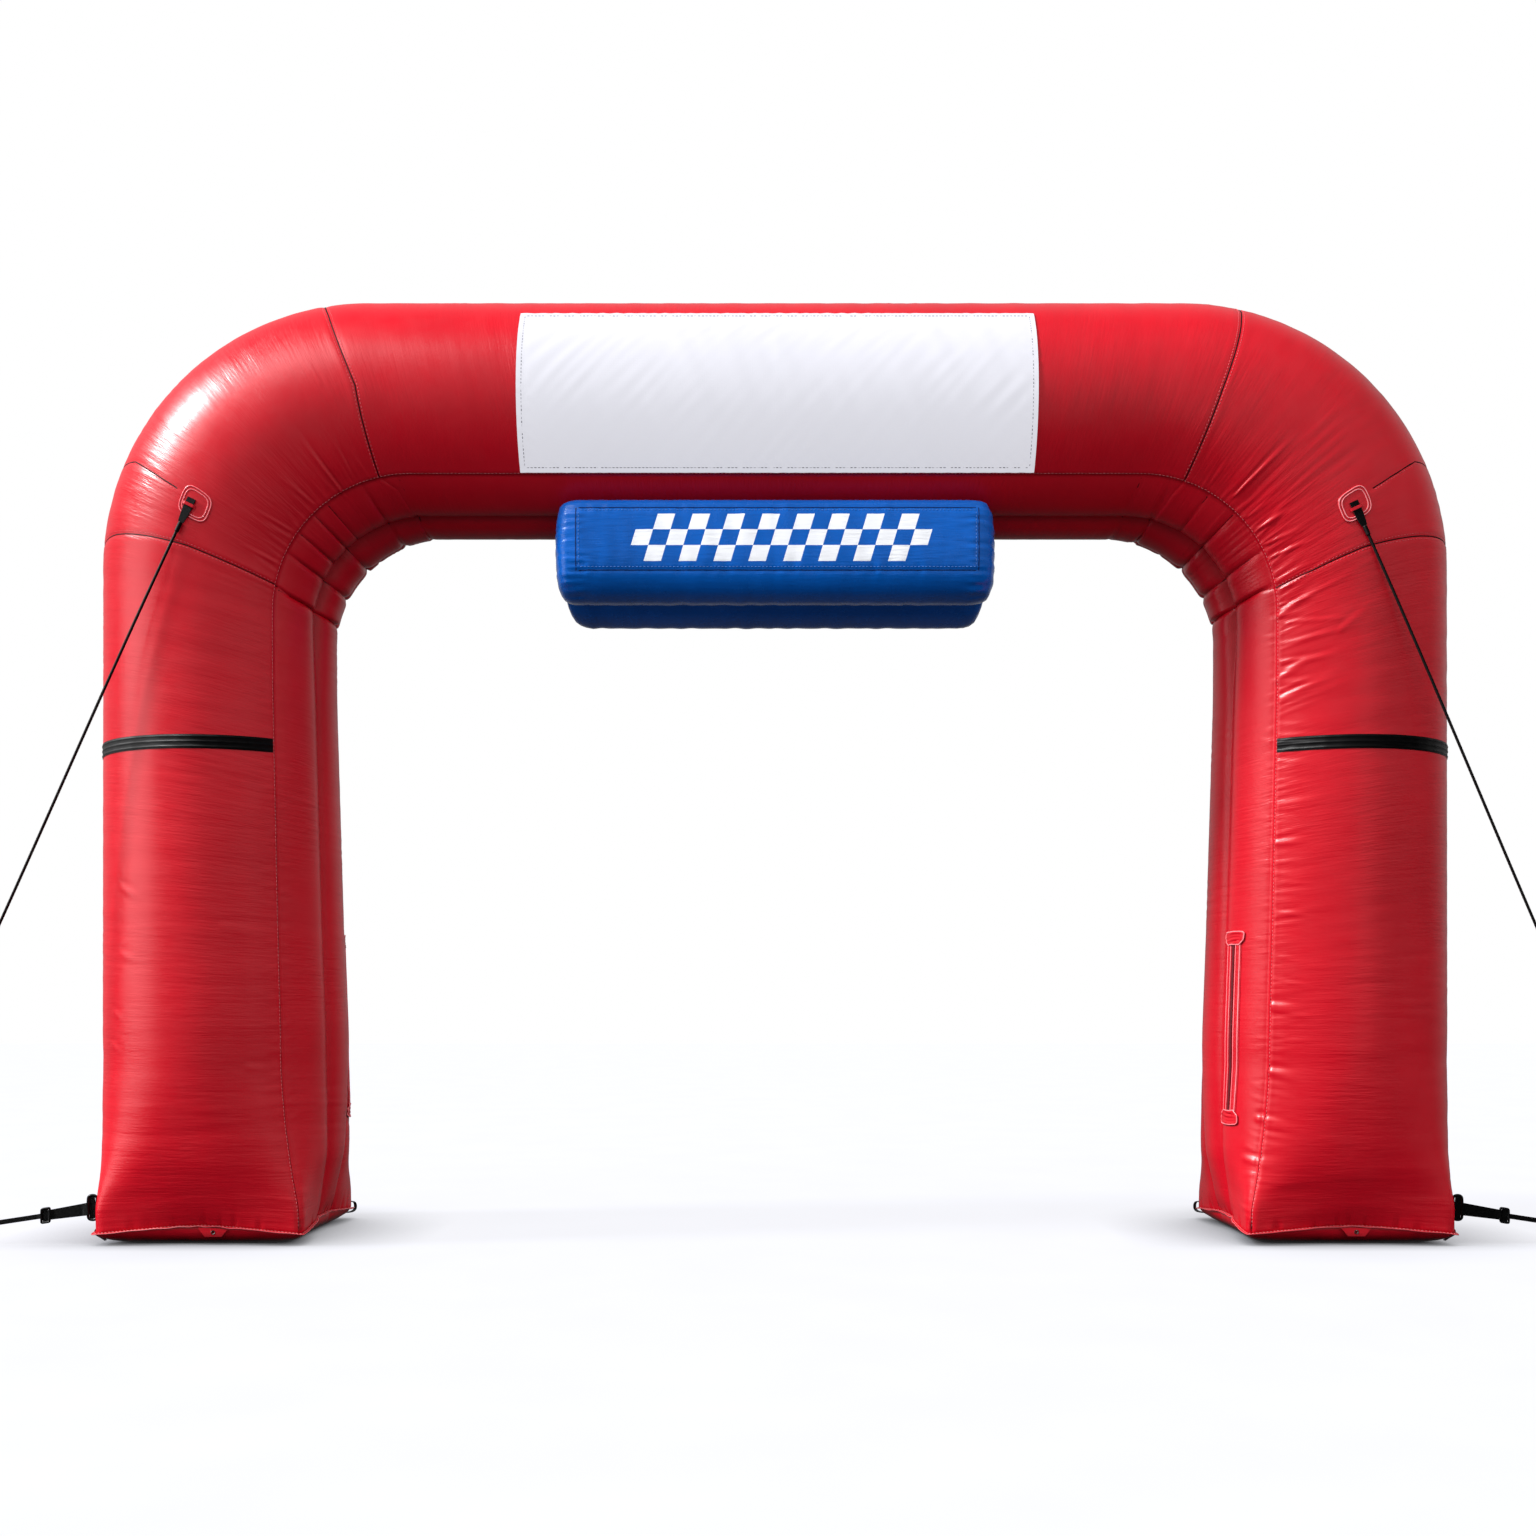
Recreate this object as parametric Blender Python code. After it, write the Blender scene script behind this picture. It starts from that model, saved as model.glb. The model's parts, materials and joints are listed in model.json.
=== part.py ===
"""Inflatable event arch, about 6.2 m wide, 4.3 m high and 1.1 m deep.

One air-filled tube of coated fabric forms two legs on square bases, two round
shoulders and a straight beam. A two-lobed pillow hangs under the beam, a
banner cloth lies on its front, and webbing, rings and ropes hold the arch
down. Units are metres. +Z is up, the front faces -Y, and the origin lies on
the ground midway between the legs.

A place on the tube is given by its run, the distance along the centre line
from the ground, and by its angle round the section in degrees: 0 faces the
passage, 90 the front and -90 the rear.
"""

import bisect
import math
from collections import namedtuple

import bmesh
import bpy
from mathutils import Vector

# Centre lines of the tube. The two lines of a bend are quarter circles: (|X|, Z, radius).
OUTER_BEND = (1.857, 3.055, 1.250)
INNER_BEND = (1.561, 2.750, 0.500)
TUBE_HALF_DEPTH = 0.525
SHOULDER_EXTRA_DEPTH = 0.020
BEND_LENGTH = (OUTER_BEND[2] + INNER_BEND[2]) / 2 * math.pi / 2
LEG_RUN = (OUTER_BEND[1] + INNER_BEND[1]) / 2
LEG_CENTRE = (OUTER_BEND[0] + OUTER_BEND[2] + INNER_BEND[0] + INNER_BEND[2]) / 2
LEG_HALF = (OUTER_BEND[0] + OUTER_BEND[2] - INNER_BEND[0] - INNER_BEND[2]) / 2
BEAM_RUN = LEG_RUN + BEND_LENGTH
BEAM_HALF_LENGTH = (OUTER_BEND[0] + INNER_BEND[0]) / 2

# Base of a leg, and the leg above it as (height, |X| of its centre, half width).
BASE_CENTRE = 2.545
BASE_HALF = 0.460
LEG_MARKS = (
    (0.055, BASE_CENTRE, BASE_HALF), (0.170, 2.547, 0.464), (0.260, 2.551, 0.470), (0.380, 2.551, 0.495),
    (0.520, 2.554, 0.520), (0.680, 2.557, 0.543), (0.900, 2.559, 0.548), (1.430, 2.568, 0.539),
    (2.600, LEG_CENTRE, LEG_HALF),
)
ROUND_FROM = 0.06
ROUND_BY = 0.80
SLANT_FROM = 0.90
SIDE_PULL = 0.065
# How far the corners stand out at each height, from 1 on a round section to the root of 2 on a square.
CORNER_MARKS = (
    (0.055, 1.390), (0.170, 1.375), (0.260, 1.300), (0.380, 1.185), (0.520, 1.090), (0.680, 1.025),
    (0.800, 1.000),
)
# How far the middle of each side swells above the base seam, as a share of its half width.
SWELL_MARKS = (
    (0.055, 0.0), (0.100, 0.004), (0.170, 0.012), (0.260, 0.058), (0.380, 0.050), (0.520, 0.020), (0.680, 0.0),
)
SOLE_CORNER = 1.300
REAR_CORNER = 0.97
RIM_HEIGHT = 0.055
RIM_LIFT = 0.034
RIM_FADE = 0.300
# Rows under the rim and round its seam flange: height, inset from the rim, share of the rim's lift.
BASE_ROWS = (
    (0.0000, 0.110, 0.00),
    (0.0080, 0.066, 0.00),
    (0.0300, 0.022, 0.55),
    (0.0520, 0.000, 1.00),
    (0.0455, -0.014, 1.00),
    (0.0485, -0.015, 1.00),
    (0.0565, 0.000, 1.00),
)
FLANGE_ROW = 4
LEG_LEVELS = (0.10, 0.17, 0.26, 0.38, 0.52, 0.68, 0.90, 1.43, 2.20)

# Seams and creases round the section, in degrees.
SEAM_ANGLE = 47.5
CORNER_ANGLE = 132.5
LOBE_ANGLE = 2 * SEAM_ANGLE / 3
STEPS_PER_LOBE = 6
STEPS_PER_SIDE = 8
STEPS_OUTER = 9
LOBE_POWER = 2.0
SEAM_SHARE = 0.14
# Depth of the creases between the lobes along the run, as (run, depth) marks.
CREASE_MARKS = (
    (0.06, 0.014),
    (0.50, 0.034),
    (2.60, 0.042),
    (LEG_RUN + 0.10 * BEND_LENGTH, 0.078),
    (LEG_RUN + 0.45 * BEND_LENGTH, 0.084),
    (LEG_RUN + 0.75 * BEND_LENGTH, 0.066),
    (BEAM_RUN, 0.052),
)

# Radial tucks across the lobes of each bend: bend angle, and pinch on the front, middle and rear lobe.
Tuck = namedtuple("Tuck", "angle front middle rear")
TUCKS = {
    -1: (
        Tuck(10.5, 0.60, 0.60, 0.60),
        Tuck(26.0, 0.50, 0.60, 0.60),
        Tuck(35.5, 0.50, 0.00, 0.00),
        Tuck(45.0, 0.50, 0.60, 0.60),
        Tuck(52.0, 0.25, 0.00, 0.20),
        Tuck(68.5, 0.60, 0.60, 0.60),
        Tuck(83.5, 0.35, 0.40, 0.40),
    ),
    1: (
        Tuck(12.5, 0.60, 0.60, 0.60),
        Tuck(27.0, 0.50, 0.60, 0.60),
        Tuck(46.0, 0.50, 0.60, 0.60),
        Tuck(59.0, 0.30, 0.00, 0.20),
        Tuck(74.5, 0.60, 0.60, 0.60),
        Tuck(87.5, 0.30, 0.40, 0.40),
    ),
}
TUCK_POWER = 3.0
LONG_TUCK_GAP = 12.0

# Fabric, webbing and the clearances between pieces.
GAP = 0.0004
SKIN_GAP = 0.0007
CLOTH = 0.0025

# Pillow under the beam. Its ends shrink towards SIGN_MIDDLE_Z, and SIGN_CREASE lies between its lobes.
SIGN_HALF_LENGTH = 0.990
SIGN_MIDDLE_Z = 3.095
SIGN_CREASE = 2.965
SIGN_REST_STEPS = 12
# Front half of the section from where it leaves the beam, down its face and under its lobe: |Y|, Z.
SIGN_RIGHT = (
    (0.365, 3.316), (0.404, 3.292), (0.420, 3.250), (0.424, 3.125), (0.420, 3.010),
    (0.400, 2.948), (0.350, 2.905), (0.280, 2.888), (0.200, 2.889), (0.120, 2.905), (0.050, 2.938),
)
# Sections near an end: distance in from the end, share of the height and of the depth.
SIGN_ENDS = ((0.000, 0.50, 0.66), (0.014, 0.74, 0.80), (0.045, 0.91, 0.92), (0.105, 1.00, 1.00))

# Banner on the beam, bands on the legs, zips beside the passage.
BANNER_EDGES = (-1.132, 1.151)
BANNER_ANGLES = (49.0, 133.0)
BAND_HEIGHT = 2.215
BAND_WIDTH = 0.062
BAND_ANGLES = (48.8, 176.0)
ZIP_HEIGHTS = (0.52, 0.68, 0.90, 1.43)
ZIP_LOBE_STEPS = (1, 2, 3)

# Guy ropes: side, top of the webbing (|X|, Z), and where the rope ends (|X|, Y, Z).
GuyLine = namedtuple("GuyLine", "side top_x top_z end_x end_y end_z")
GUY_LINES = (
    GuyLine(-1, 2.540, 3.270, 3.500, -0.440, 1.2635),
    GuyLine(1, 2.520, 3.256, 3.440, -0.440, 1.2370),
)
PATCH_BEND_ANGLE = 22.7
PATCH_HALF_RUN = 0.066
PATCH_ANGLES = (84.5, 98.3)
PATCH_CUT = 0.55
LOOP_AT = 0.030
LOOP_WIDTH = 0.030
LOOP_FOOT = 0.030
# Outline of the loop over the webbing: share of LOOP_FOOT sideways, and share of its rise or, below 0, of the
# patch's fall to either side.
LOOP_SHAPE = (
    (-1.00, -0.6), (-0.86, 0.0), (-0.74, 0.9), (-0.70, 1.0), (0.70, 1.0), (0.74, 0.9), (0.86, 0.0),
    (1.00, -0.6),
)
GUY_WEBBING_LENGTH = 0.115
WEBBING_BEND_ANGLES = (25.5, 21.0)
GUY_WEBBING = 0.005
# Widths of the guy webbing at distances from its top, and a sleeve's radii as (share of length, of radius).
GUY_WEBBING_WIDTHS = ((0.0, 0.040), (0.055, 0.040), (0.090, 0.034), (GUY_WEBBING_LENGTH, 0.026))
SLEEVE_SHAPE = ((0.0, 0.82), (0.15, 1.0), (0.85, 0.97), (1.0, 0.82))
GUY_SLEEVE_LENGTH = 0.045
GUY_SLEEVE_RADIUS = 0.0100
SLEEVE_GAP = 0.0008
ROPE_RADIUS = 0.0065
ROPE_SAG = 0.008
ROPE_POINTS = 56
END_SLEEVE_LENGTH = 0.040
END_SLEEVE_THICK = 0.0093
END_SLEEVE_WIDE = 0.0155
END_LOOP_LENGTH = 0.060
END_LOOP_HALF_WIDTH = 0.017
END_LOOP_SLANT = 0.0028
END_LOOP_STEPS = 14

# Ground anchors at the outer front corners, as |X|, Y and Z.
ANCHOR_Y = -0.405
RING_X = (3.0104, 3.0516)
RING_Z = (0.108, 0.217)
RING_BAR = 0.0050
RING_CORNER = 0.016
STRAP_FALL = -0.152
STRAP_ZERO_Z = 0.156
WEBBING = 0.0020
TAB_HEIGHTS = (0.1375, 0.1875)
TAB_ROOT = 0.012
TAB_TAIL = (3.0178, 0.075)
WEBBING_WIDTHS = (0.056, 0.044)
BUCKLE_X = 3.240
BUCKLE_HALF_HEIGHT = 0.031
BUCKLE_BAR = 0.0040
BUCKLE_HALF_WIDTH = 0.0185
BUCKLE_CORNER = 0.006
# Where the narrow strap's two layers lie together and where they end, measured from the buckle's far bar.
STRAP_NECK = 0.020
STRAP_TAIL = 0.045
STRAP_SEWN = 0.060
BELT_NECK = 0.008
CORNER_STRAP_WIDTH = 0.025
STRAP_END_X = {-1: 3.470, 1: 3.410}
STRAP_WIDTH = 0.022
EYE_RADIUS = 0.011

# Centre lines of the small webbing pieces at two corners of a base: |X| and Z, and distance out and Z.
CORNER_STRAP_PATH = (
    (3.0018, 0.100), (3.0060, 0.078), (3.0165, 0.063), (3.0172, 0.048), (3.0080, 0.0390),
    (2.9900, 0.0290), (2.9720, 0.0170),
)
REAR_LOOP_WIDTH = 0.025
REAR_LOOP_PATH = (
    (0.0002, 0.084), (0.018, 0.083), (0.029, 0.075), (0.033, 0.060), (0.030, 0.045), (0.018, 0.035),
    (-0.002, 0.032), (-0.0230, 0.032),
)

# Eyelet tabs on the base seam.
EYELET_TAB_X = {-1: -2.483, 1: 2.569}
EYELET_TAB_Y = 0.4420
EYELET_TAB_HALF = 0.068
EYELET_TAB_DROP = 0.038
EYELET_RADIUS = 0.0055
EYELET_FLANGE = 0.0105

# Finish of each kind of piece: colour, roughness, metallic.
FINISHES = {
    "red_coated_fabric": ((0.56, 0.004, 0.018), 0.32, 0.0),
    "blue_coated_fabric": ((0.008, 0.035, 0.24), 0.35, 0.0),
    "white_banner_cloth": ((0.86, 0.86, 0.86), 0.55, 0.0),
    "black_webbing": ((0.012, 0.012, 0.013), 0.75, 0.0),
    "black_rope": ((0.015, 0.010, 0.012), 0.70, 0.0),
    "black_plastic": ((0.018, 0.018, 0.020), 0.40, 0.0),
    "steel_eyelet": ((0.62, 0.61, 0.60), 0.30, 1.0),
}

Station = namedtuple("Station", "outer inner depth corner pull lift blend crease pinches")


def mix(low, high, share):
    return low + (high - low) * share


def smooth_share(low, high, value):
    share = min(1.0, max(0.0, (value - low) / (high - low)))
    return share * share * (3 - 2 * share)


def between_marks(marks, value, column=1):
    """Value at a place in a table whose rows start with the place."""
    if value <= marks[0][0]:
        return marks[0][column]
    for low, high in zip(marks, marks[1:]):
        if value <= high[0]:
            return mix(low[column], high[column], (value - low[0]) / (high[0] - low[0]))
    return marks[-1][column]


# The tube's surface.


def corner_power(corner):
    """Power of the rounded square whose corners stand out by this much."""
    return math.log(2) / math.log(math.sqrt(2) / corner)


def pinch(side, lobe, bend_angle):
    """How far the tucks of one lobe are pinched at a bend angle, from 0 on a crown to their table value."""
    marks = [(tuck.angle, tuck[lobe + 1]) for tuck in TUCKS[side] if tuck[lobe + 1] > 0]
    marks = [(-14.0, 0.0), *marks, (104.0, 0.0)]
    for (low, at_low), (high, at_high) in zip(marks, marks[1:]):
        if low <= bend_angle <= high:
            share = (bend_angle - low) / (high - low)
            near = at_low if share < 0.5 else at_high
            return near * abs(1 - 2 * share) ** TUCK_POWER
    return 0.0


def station_at(run, side):
    crease = between_marks(CREASE_MARKS, run)
    bend_angle = (run - LEG_RUN) / BEND_LENGTH * 90
    pinches = tuple(pinch(side, lobe, bend_angle) for lobe in range(3))
    if run < LEG_RUN:
        blend = smooth_share(ROUND_FROM, ROUND_BY, run)
        centre = between_marks(LEG_MARKS, run)
        half = between_marks(LEG_MARKS, run, column=2)
        slant = max(0.0, run - SLANT_FROM) / (LEG_RUN - SLANT_FROM) * (OUTER_BEND[1] - LEG_RUN)
        fade = max(0.0, 1 - (run - RIM_HEIGHT) / RIM_FADE) ** 1.5
        return Station(
            (centre + half, run + slant), (centre - half, run - slant),
            half * mix(1.0, TUBE_HALF_DEPTH / LEG_HALF, blend), between_marks(CORNER_MARKS, run),
            SIDE_PULL * fade - between_marks(SWELL_MARKS, run), RIM_LIFT * fade, blend, crease, pinches,
        )
    if run < BEAM_RUN:
        turn = math.radians(bend_angle)
        ends = [
            (x + radius * math.cos(turn), z + radius * math.sin(turn))
            for x, z, radius in (OUTER_BEND, INNER_BEND)
        ]
        depth = TUBE_HALF_DEPTH + SHOULDER_EXTRA_DEPTH * math.sin(2 * turn)
        return Station(*ends, depth, 1.0, 0.0, 0.0, 1.0, crease, pinches)
    left = 1 - (run - BEAM_RUN) / BEAM_HALF_LENGTH
    return Station(
        (OUTER_BEND[0] * left, OUTER_BEND[1] + OUTER_BEND[2]),
        (INNER_BEND[0] * left, INNER_BEND[1] + INNER_BEND[2]),
        TUBE_HALF_DEPTH, 1.0, 0.0, 0.0, 1.0, crease, (0.0, 0.0, 0.0),
    )


def base_station(height, inset, lift_share):
    half = BASE_HALF - inset
    return Station(
        (BASE_CENTRE + half, height), (BASE_CENTRE - half, height), half,
        mix(SOLE_CORNER, CORNER_MARKS[0][1], min(1.0, height / 0.03)), SIDE_PULL * lift_share,
        RIM_LIFT * lift_share, 0.0, CREASE_MARKS[0][1] * lift_share, (0.0, 0.0, 0.0),
    )


def crease_depth(station, angle):
    """Depth of the fabric in the creases between the three lobes inside the inner seams, and in the tucks."""
    if abs(angle) > SEAM_ANGLE + 0.01:
        return 0.0
    place = min(2.9999, (SEAM_ANGLE - angle) / LOBE_ANGLE)
    lobe = int(place)
    across = place - lobe
    edge = abs(1 - 2 * across) ** LOBE_POWER
    at_seam = (lobe == 0 and across < 0.5) or (lobe == 2 and across > 0.5)
    if at_seam:
        edge *= SEAM_SHARE
    towards_seam = {0: 1 - across, 1: 0.0, 2: across}[lobe]
    tuck = station.pinches[lobe] * (1 - 0.8 * towards_seam ** 2)
    return station.crease * (edge + tuck - edge * tuck)


def corner_turn(angle):
    """Angle round a square base whose corners lie on the seams."""
    size = abs(angle)
    if size < SEAM_ANGLE:
        turned = size / SEAM_ANGLE * 45
    elif size < CORNER_ANGLE:
        turned = 45 + (size - SEAM_ANGLE) / (CORNER_ANGLE - SEAM_ANGLE) * 90
    else:
        turned = 135 + (size - CORNER_ANGLE) / (180 - CORNER_ANGLE) * 45
    return math.copysign(turned, angle)


def section_point(station, side, angle):
    outer, inner = Vector(station.outer), Vector(station.inner)
    centre = (outer + inner) / 2
    outwards = (outer - inner) / 2
    half = outwards.length
    turn = math.radians(mix(corner_turn(angle), angle, station.blend))
    cosine, sine = math.cos(turn), math.sin(turn)
    corner = station.corner
    if sine < 0:
        corner = mix(corner, corner * REAR_CORNER, 1 - station.blend)
    power = corner_power(corner)
    reach = (abs(cosine) ** power + abs(sine) ** power) ** (-1 / power)
    middle = math.cos(2 * turn) ** 2
    reach *= 1 - station.pull * middle
    depth = crease_depth(station, angle)
    place = centre - outwards / half * cosine * (half * reach - depth)
    y = -sine * (station.depth * reach - depth)
    return Vector((side * place.x, y, place.y + station.lift * middle))


def section_angles():
    """Angles of the columns, which meet every seam, crease and base corner."""
    lobes = 3 * STEPS_PER_LOBE
    angles = [SEAM_ANGLE - 2 * SEAM_ANGLE * step / lobes for step in range(lobes)]
    side_step = (CORNER_ANGLE - SEAM_ANGLE) / STEPS_PER_SIDE
    outer_step = 2 * (180 - CORNER_ANGLE) / STEPS_OUTER
    angles += [-SEAM_ANGLE - side_step * step for step in range(STEPS_PER_SIDE)]
    angles += [-CORNER_ANGLE - outer_step * step for step in range(STEPS_OUTER)]
    angles += [-360 + CORNER_ANGLE - side_step * step for step in range(STEPS_PER_SIDE)]
    return [angle if angle > -180 else angle + 360 for angle in angles]


def tube_runs(side):
    """Runs of the rows above the base, closer together where the tucks are."""
    angles = [0.0, *(tuck.angle for tuck in TUCKS[side]), 90.0]
    bends = []
    for low, high in zip(angles, angles[1:]):
        shares = (0.0, 0.22, 0.78) if high - low > LONG_TUCK_GAP else (0.0, 0.5)
        bends += [mix(low, high, share) for share in shares]
    bend_runs = [LEG_RUN + bend / 90 * BEND_LENGTH for bend in bends]
    return [*LEG_LEVELS, *bend_runs, BEAM_RUN, BEAM_RUN + BEAM_HALF_LENGTH]


ANGLES = section_angles()
RUNS = {side: tube_runs(side) for side in (-1, 1)}


def facet_point(side, run, angle):
    """Point on the tube's flat facets, which skins lie on."""
    runs = RUNS[side]
    row = min(len(runs) - 2, max(0, bisect.bisect_right(runs, run) - 1))
    order = sorted(ANGLES)
    column = min(len(order) - 2, max(0, bisect.bisect_right(order, angle) - 1))
    along = (run - runs[row]) / (runs[row + 1] - runs[row])
    round_share = (angle - order[column]) / (order[column + 1] - order[column])
    corners = [
        section_point(station_at(runs[row + step], side), side, order[column + turn])
        for step in (0, 1) for turn in (0, 1)
    ]
    low = corners[0].lerp(corners[1], round_share)
    high = corners[2].lerp(corners[3], round_share)
    return low.lerp(high, along)


def facet_normal(side, run, angle):
    along = facet_point(side, run + 0.004, angle) - facet_point(side, run - 0.004, angle)
    across = facet_point(side, run, angle + 0.4) - facet_point(side, run, angle - 0.4)
    return -side * along.cross(across).normalized()


def columns_between(low, high):
    """The ends of a range of angles with the tube's own columns between them, the highest first."""
    inside = [angle for angle in sorted(ANGLES, reverse=True) if low + 0.2 < angle < high - 0.2]
    return [high, *inside, low]


# Builders.


def finish_material(name):
    found = bpy.data.materials.get(name)
    if found:
        return found
    colour, roughness, metallic = FINISHES[name]
    material = bpy.data.materials.new(name)
    material.use_nodes = True
    shader = material.node_tree.nodes["Principled BSDF"]
    shader.inputs["Base Color"].default_value = (*colour, 1.0)
    shader.inputs["Roughness"].default_value = roughness
    shader.inputs["Metallic"].default_value = metallic
    return material


def solid(name, points, faces, finish, sharp=35):
    """An object from points and faces, with its faces turned outwards and its round parts smooth."""
    mesh = bpy.data.meshes.new(name)
    mesh.from_pydata([tuple(point) for point in points], [], faces)
    shape = bmesh.new()
    shape.from_mesh(mesh)
    bmesh.ops.recalc_face_normals(shape, faces=shape.faces)
    shape.to_mesh(mesh)
    shape.free()
    mesh.shade_smooth()
    mesh.set_sharp_from_angle(angle=math.radians(sharp))
    mesh.materials.append(finish_material(finish))
    made = bpy.data.objects.new(name, mesh)
    bpy.context.scene.collection.objects.link(made)
    return made


def loft(name, rings, finish, closed=False, mirrored_from=None):
    """A solid through rings of equally many points, with flat ends unless it closes on itself.

    From the ring mirrored_from on, quads split the other way, so a mirrored half has matching facets.
    """
    count = len(rings[0])
    points = [point for ring in rings for point in ring]
    spans = len(rings) if closed else len(rings) - 1
    faces = []
    for ring in range(spans):
        here, there = ring * count, (ring + 1) % len(rings) * count
        for step in range(count):
            after = (step + 1) % count
            face = (here + step, here + after, there + after, there + step)
            if mirrored_from is not None and ring >= mirrored_from:
                face = (*face[1:], face[0])
            faces.append(face)
    if not closed:
        faces.append(tuple(range(count)))
        faces.append(tuple(range(len(points) - count, len(points))))
    return solid(name, points, faces, finish)


def slab(name, inside, outside, finish):
    """A thin solid between two equal grids of points."""
    rows, columns = len(inside), len(inside[0])
    points = [point for grid in (inside, outside) for row in grid for point in row]
    layer = rows * columns

    def index(row, column, side):
        return side * layer + row * columns + column

    faces = []
    for side in (0, 1):
        for row in range(rows - 1):
            for column in range(columns - 1):
                faces.append(
                    (index(row, column, side), index(row, column + 1, side),
                     index(row + 1, column + 1, side), index(row + 1, column, side))
                )
    rim = [(0, column) for column in range(columns)]
    rim += [(row, columns - 1) for row in range(1, rows)]
    rim += [(rows - 1, column) for column in reversed(range(columns - 1))]
    rim += [(row, 0) for row in reversed(range(1, rows - 1))]
    for here, there in zip(rim, rim[1:] + rim[:1]):
        faces.append((index(*here, 0), index(*there, 0), index(*there, 1), index(*here, 1)))
    return solid(name, points, faces, finish)


def sweep(name, path, profile, axis, finish, closed=False):
    """A profile of (sideways, along the axis) points carried along a path that lies square to the axis."""
    rings = []
    count = len(path)
    for place, point in enumerate(path):
        before = path[place - 1] if closed or place else point
        after = path[(place + 1) % count] if closed or place < count - 1 else point
        incoming, outgoing = (point - before), (after - point)
        if incoming.length < 1e-9:
            incoming = outgoing
        if outgoing.length < 1e-9:
            outgoing = incoming
        tangent = (incoming.normalized() + outgoing.normalized()).normalized()
        sideways = tangent.cross(axis)
        stretch = 1 / max(0.5, tangent.dot(incoming.normalized()))
        corners = profile(place) if callable(profile) else profile
        rings.append([point + sideways * (out * stretch) + axis * up for out, up in corners])
    return loft(name, rings, finish, closed)


def circle(radius, sides, centre=(0.0, 0.0), start=0.0, sweep_angle=360.0, whole=True):
    steps = sides if whole else sides + 1
    return [
        (
            centre[0] + radius * math.cos(math.radians(start + sweep_angle * step / sides)),
            centre[1] + radius * math.sin(math.radians(start + sweep_angle * step / sides)),
        )
        for step in range(steps)
    ]


def strip(thickness, width):
    """Rectangular profile of a piece of webbing."""
    half, edge = thickness / 2, width / 2
    return [(-half, -edge), (half, -edge), (half, edge), (-half, edge)]


def skin(name, side, rows, finish, thickness=CLOTH):
    """A patch of fabric on the tube. Each row is (run, angles), and starts at its highest angle."""
    inside, outside = [], []
    for run, angles in rows:
        ground = [(facet_point(side, run, a), facet_normal(side, run, a)) for a in angles]
        inside.append([point + normal * SKIN_GAP for point, normal in ground])
        outside.append([point + normal * (SKIN_GAP + thickness) for point, normal in ground])
    return slab(name, inside, outside, finish)


def side_name(base, side):
    return f"{base}_{'left' if side < 0 else 'right'}"


# Pieces.


def arch_tube():
    """Both legs, the shoulders and the beam: one air-filled body from base to base."""
    halves = {}
    for side in (-1, 1):
        stations = [base_station(*row) for row in BASE_ROWS]
        stations += [station_at(run, side) for run in RUNS[side]]
        halves[side] = [[section_point(s, side, angle) for angle in ANGLES] for s in stations]
    rings = [*halves[-1], *reversed(halves[1][:-1])]
    loft("arch_tube", rings, "red_coated_fabric", mirrored_from=len(halves[-1]) - 1)


def sign_outline():
    """Section of the pillow as (Y, Z): it rests against the beam's lobes, and its underside is two lobes."""
    top_z, bottom_z = (bend[1] + bend[2] for bend in (OUTER_BEND, INNER_BEND))
    middle_z, radius = (top_z + bottom_z) / 2, (top_z - bottom_z) / 2
    turns = [
        math.radians(LOBE_ANGLE * (2 * step / SIGN_REST_STEPS - 1)) for step in range(SIGN_REST_STEPS + 1)
    ]
    rests = [(TUBE_HALF_DEPTH * math.sin(t), middle_z - radius * math.cos(t) - SKIN_GAP) for t in turns]
    right = list(SIGN_RIGHT)
    left = [(-y, z) for y, z in reversed(SIGN_RIGHT)]
    return [*rests, *right, (0.0, SIGN_CREASE), *left]


def sign_pillow():
    """Air-filled pillow under the beam, with rounded ends."""
    outline = sign_outline()
    places = [(-SIGN_HALF_LENGTH + inset, height, depth) for inset, height, depth in SIGN_ENDS]
    places += [(0.0, 1.0, 1.0)]
    places += [(-x, height, depth) for x, height, depth in reversed(places[:-1])]
    rings = [
        [Vector((x, y * depth, mix(SIGN_MIDDLE_Z, z, height))) for y, z in outline]
        for x, height, depth in places
    ]
    loft("sign_pillow", rings, "blue_coated_fabric")


def banner_panel():
    """Cloth on the front of the beam."""
    run = BEAM_RUN + BEAM_HALF_LENGTH / 2
    ground = [(facet_point(1, run, a), facet_normal(1, run, a)) for a in columns_between(*BANNER_ANGLES)]
    grids = []
    for lift in (SKIN_GAP, SKIN_GAP + CLOTH):
        section = [point + normal * lift for point, normal in ground]
        grids.append([
            [Vector((x, point.y, point.z)) for point in section]
            for x in (BANNER_EDGES[0], mix(*BANNER_EDGES, 0.5), BANNER_EDGES[1])
        ])
    slab("banner_panel", *grids, "white_banner_cloth")


def leg_band(side):
    """Level webbing band across the front panel of a leg, from the inner seam to the outer side."""
    grids = []
    for lift in (SKIN_GAP, SKIN_GAP + CLOTH):
        grid = []
        for height in (BAND_HEIGHT - BAND_WIDTH / 2, BAND_HEIGHT + BAND_WIDTH / 2):
            row = []
            for angle in columns_between(*BAND_ANGLES):
                run = height
                for _ in range(4):
                    run += height - facet_point(side, run, angle).z
                row.append(facet_point(side, run, angle) + facet_normal(side, run, angle) * lift)
            grid.append(row)
        grids.append(grid)
    slab(side_name("leg_band", side), *grids, "black_webbing")


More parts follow.
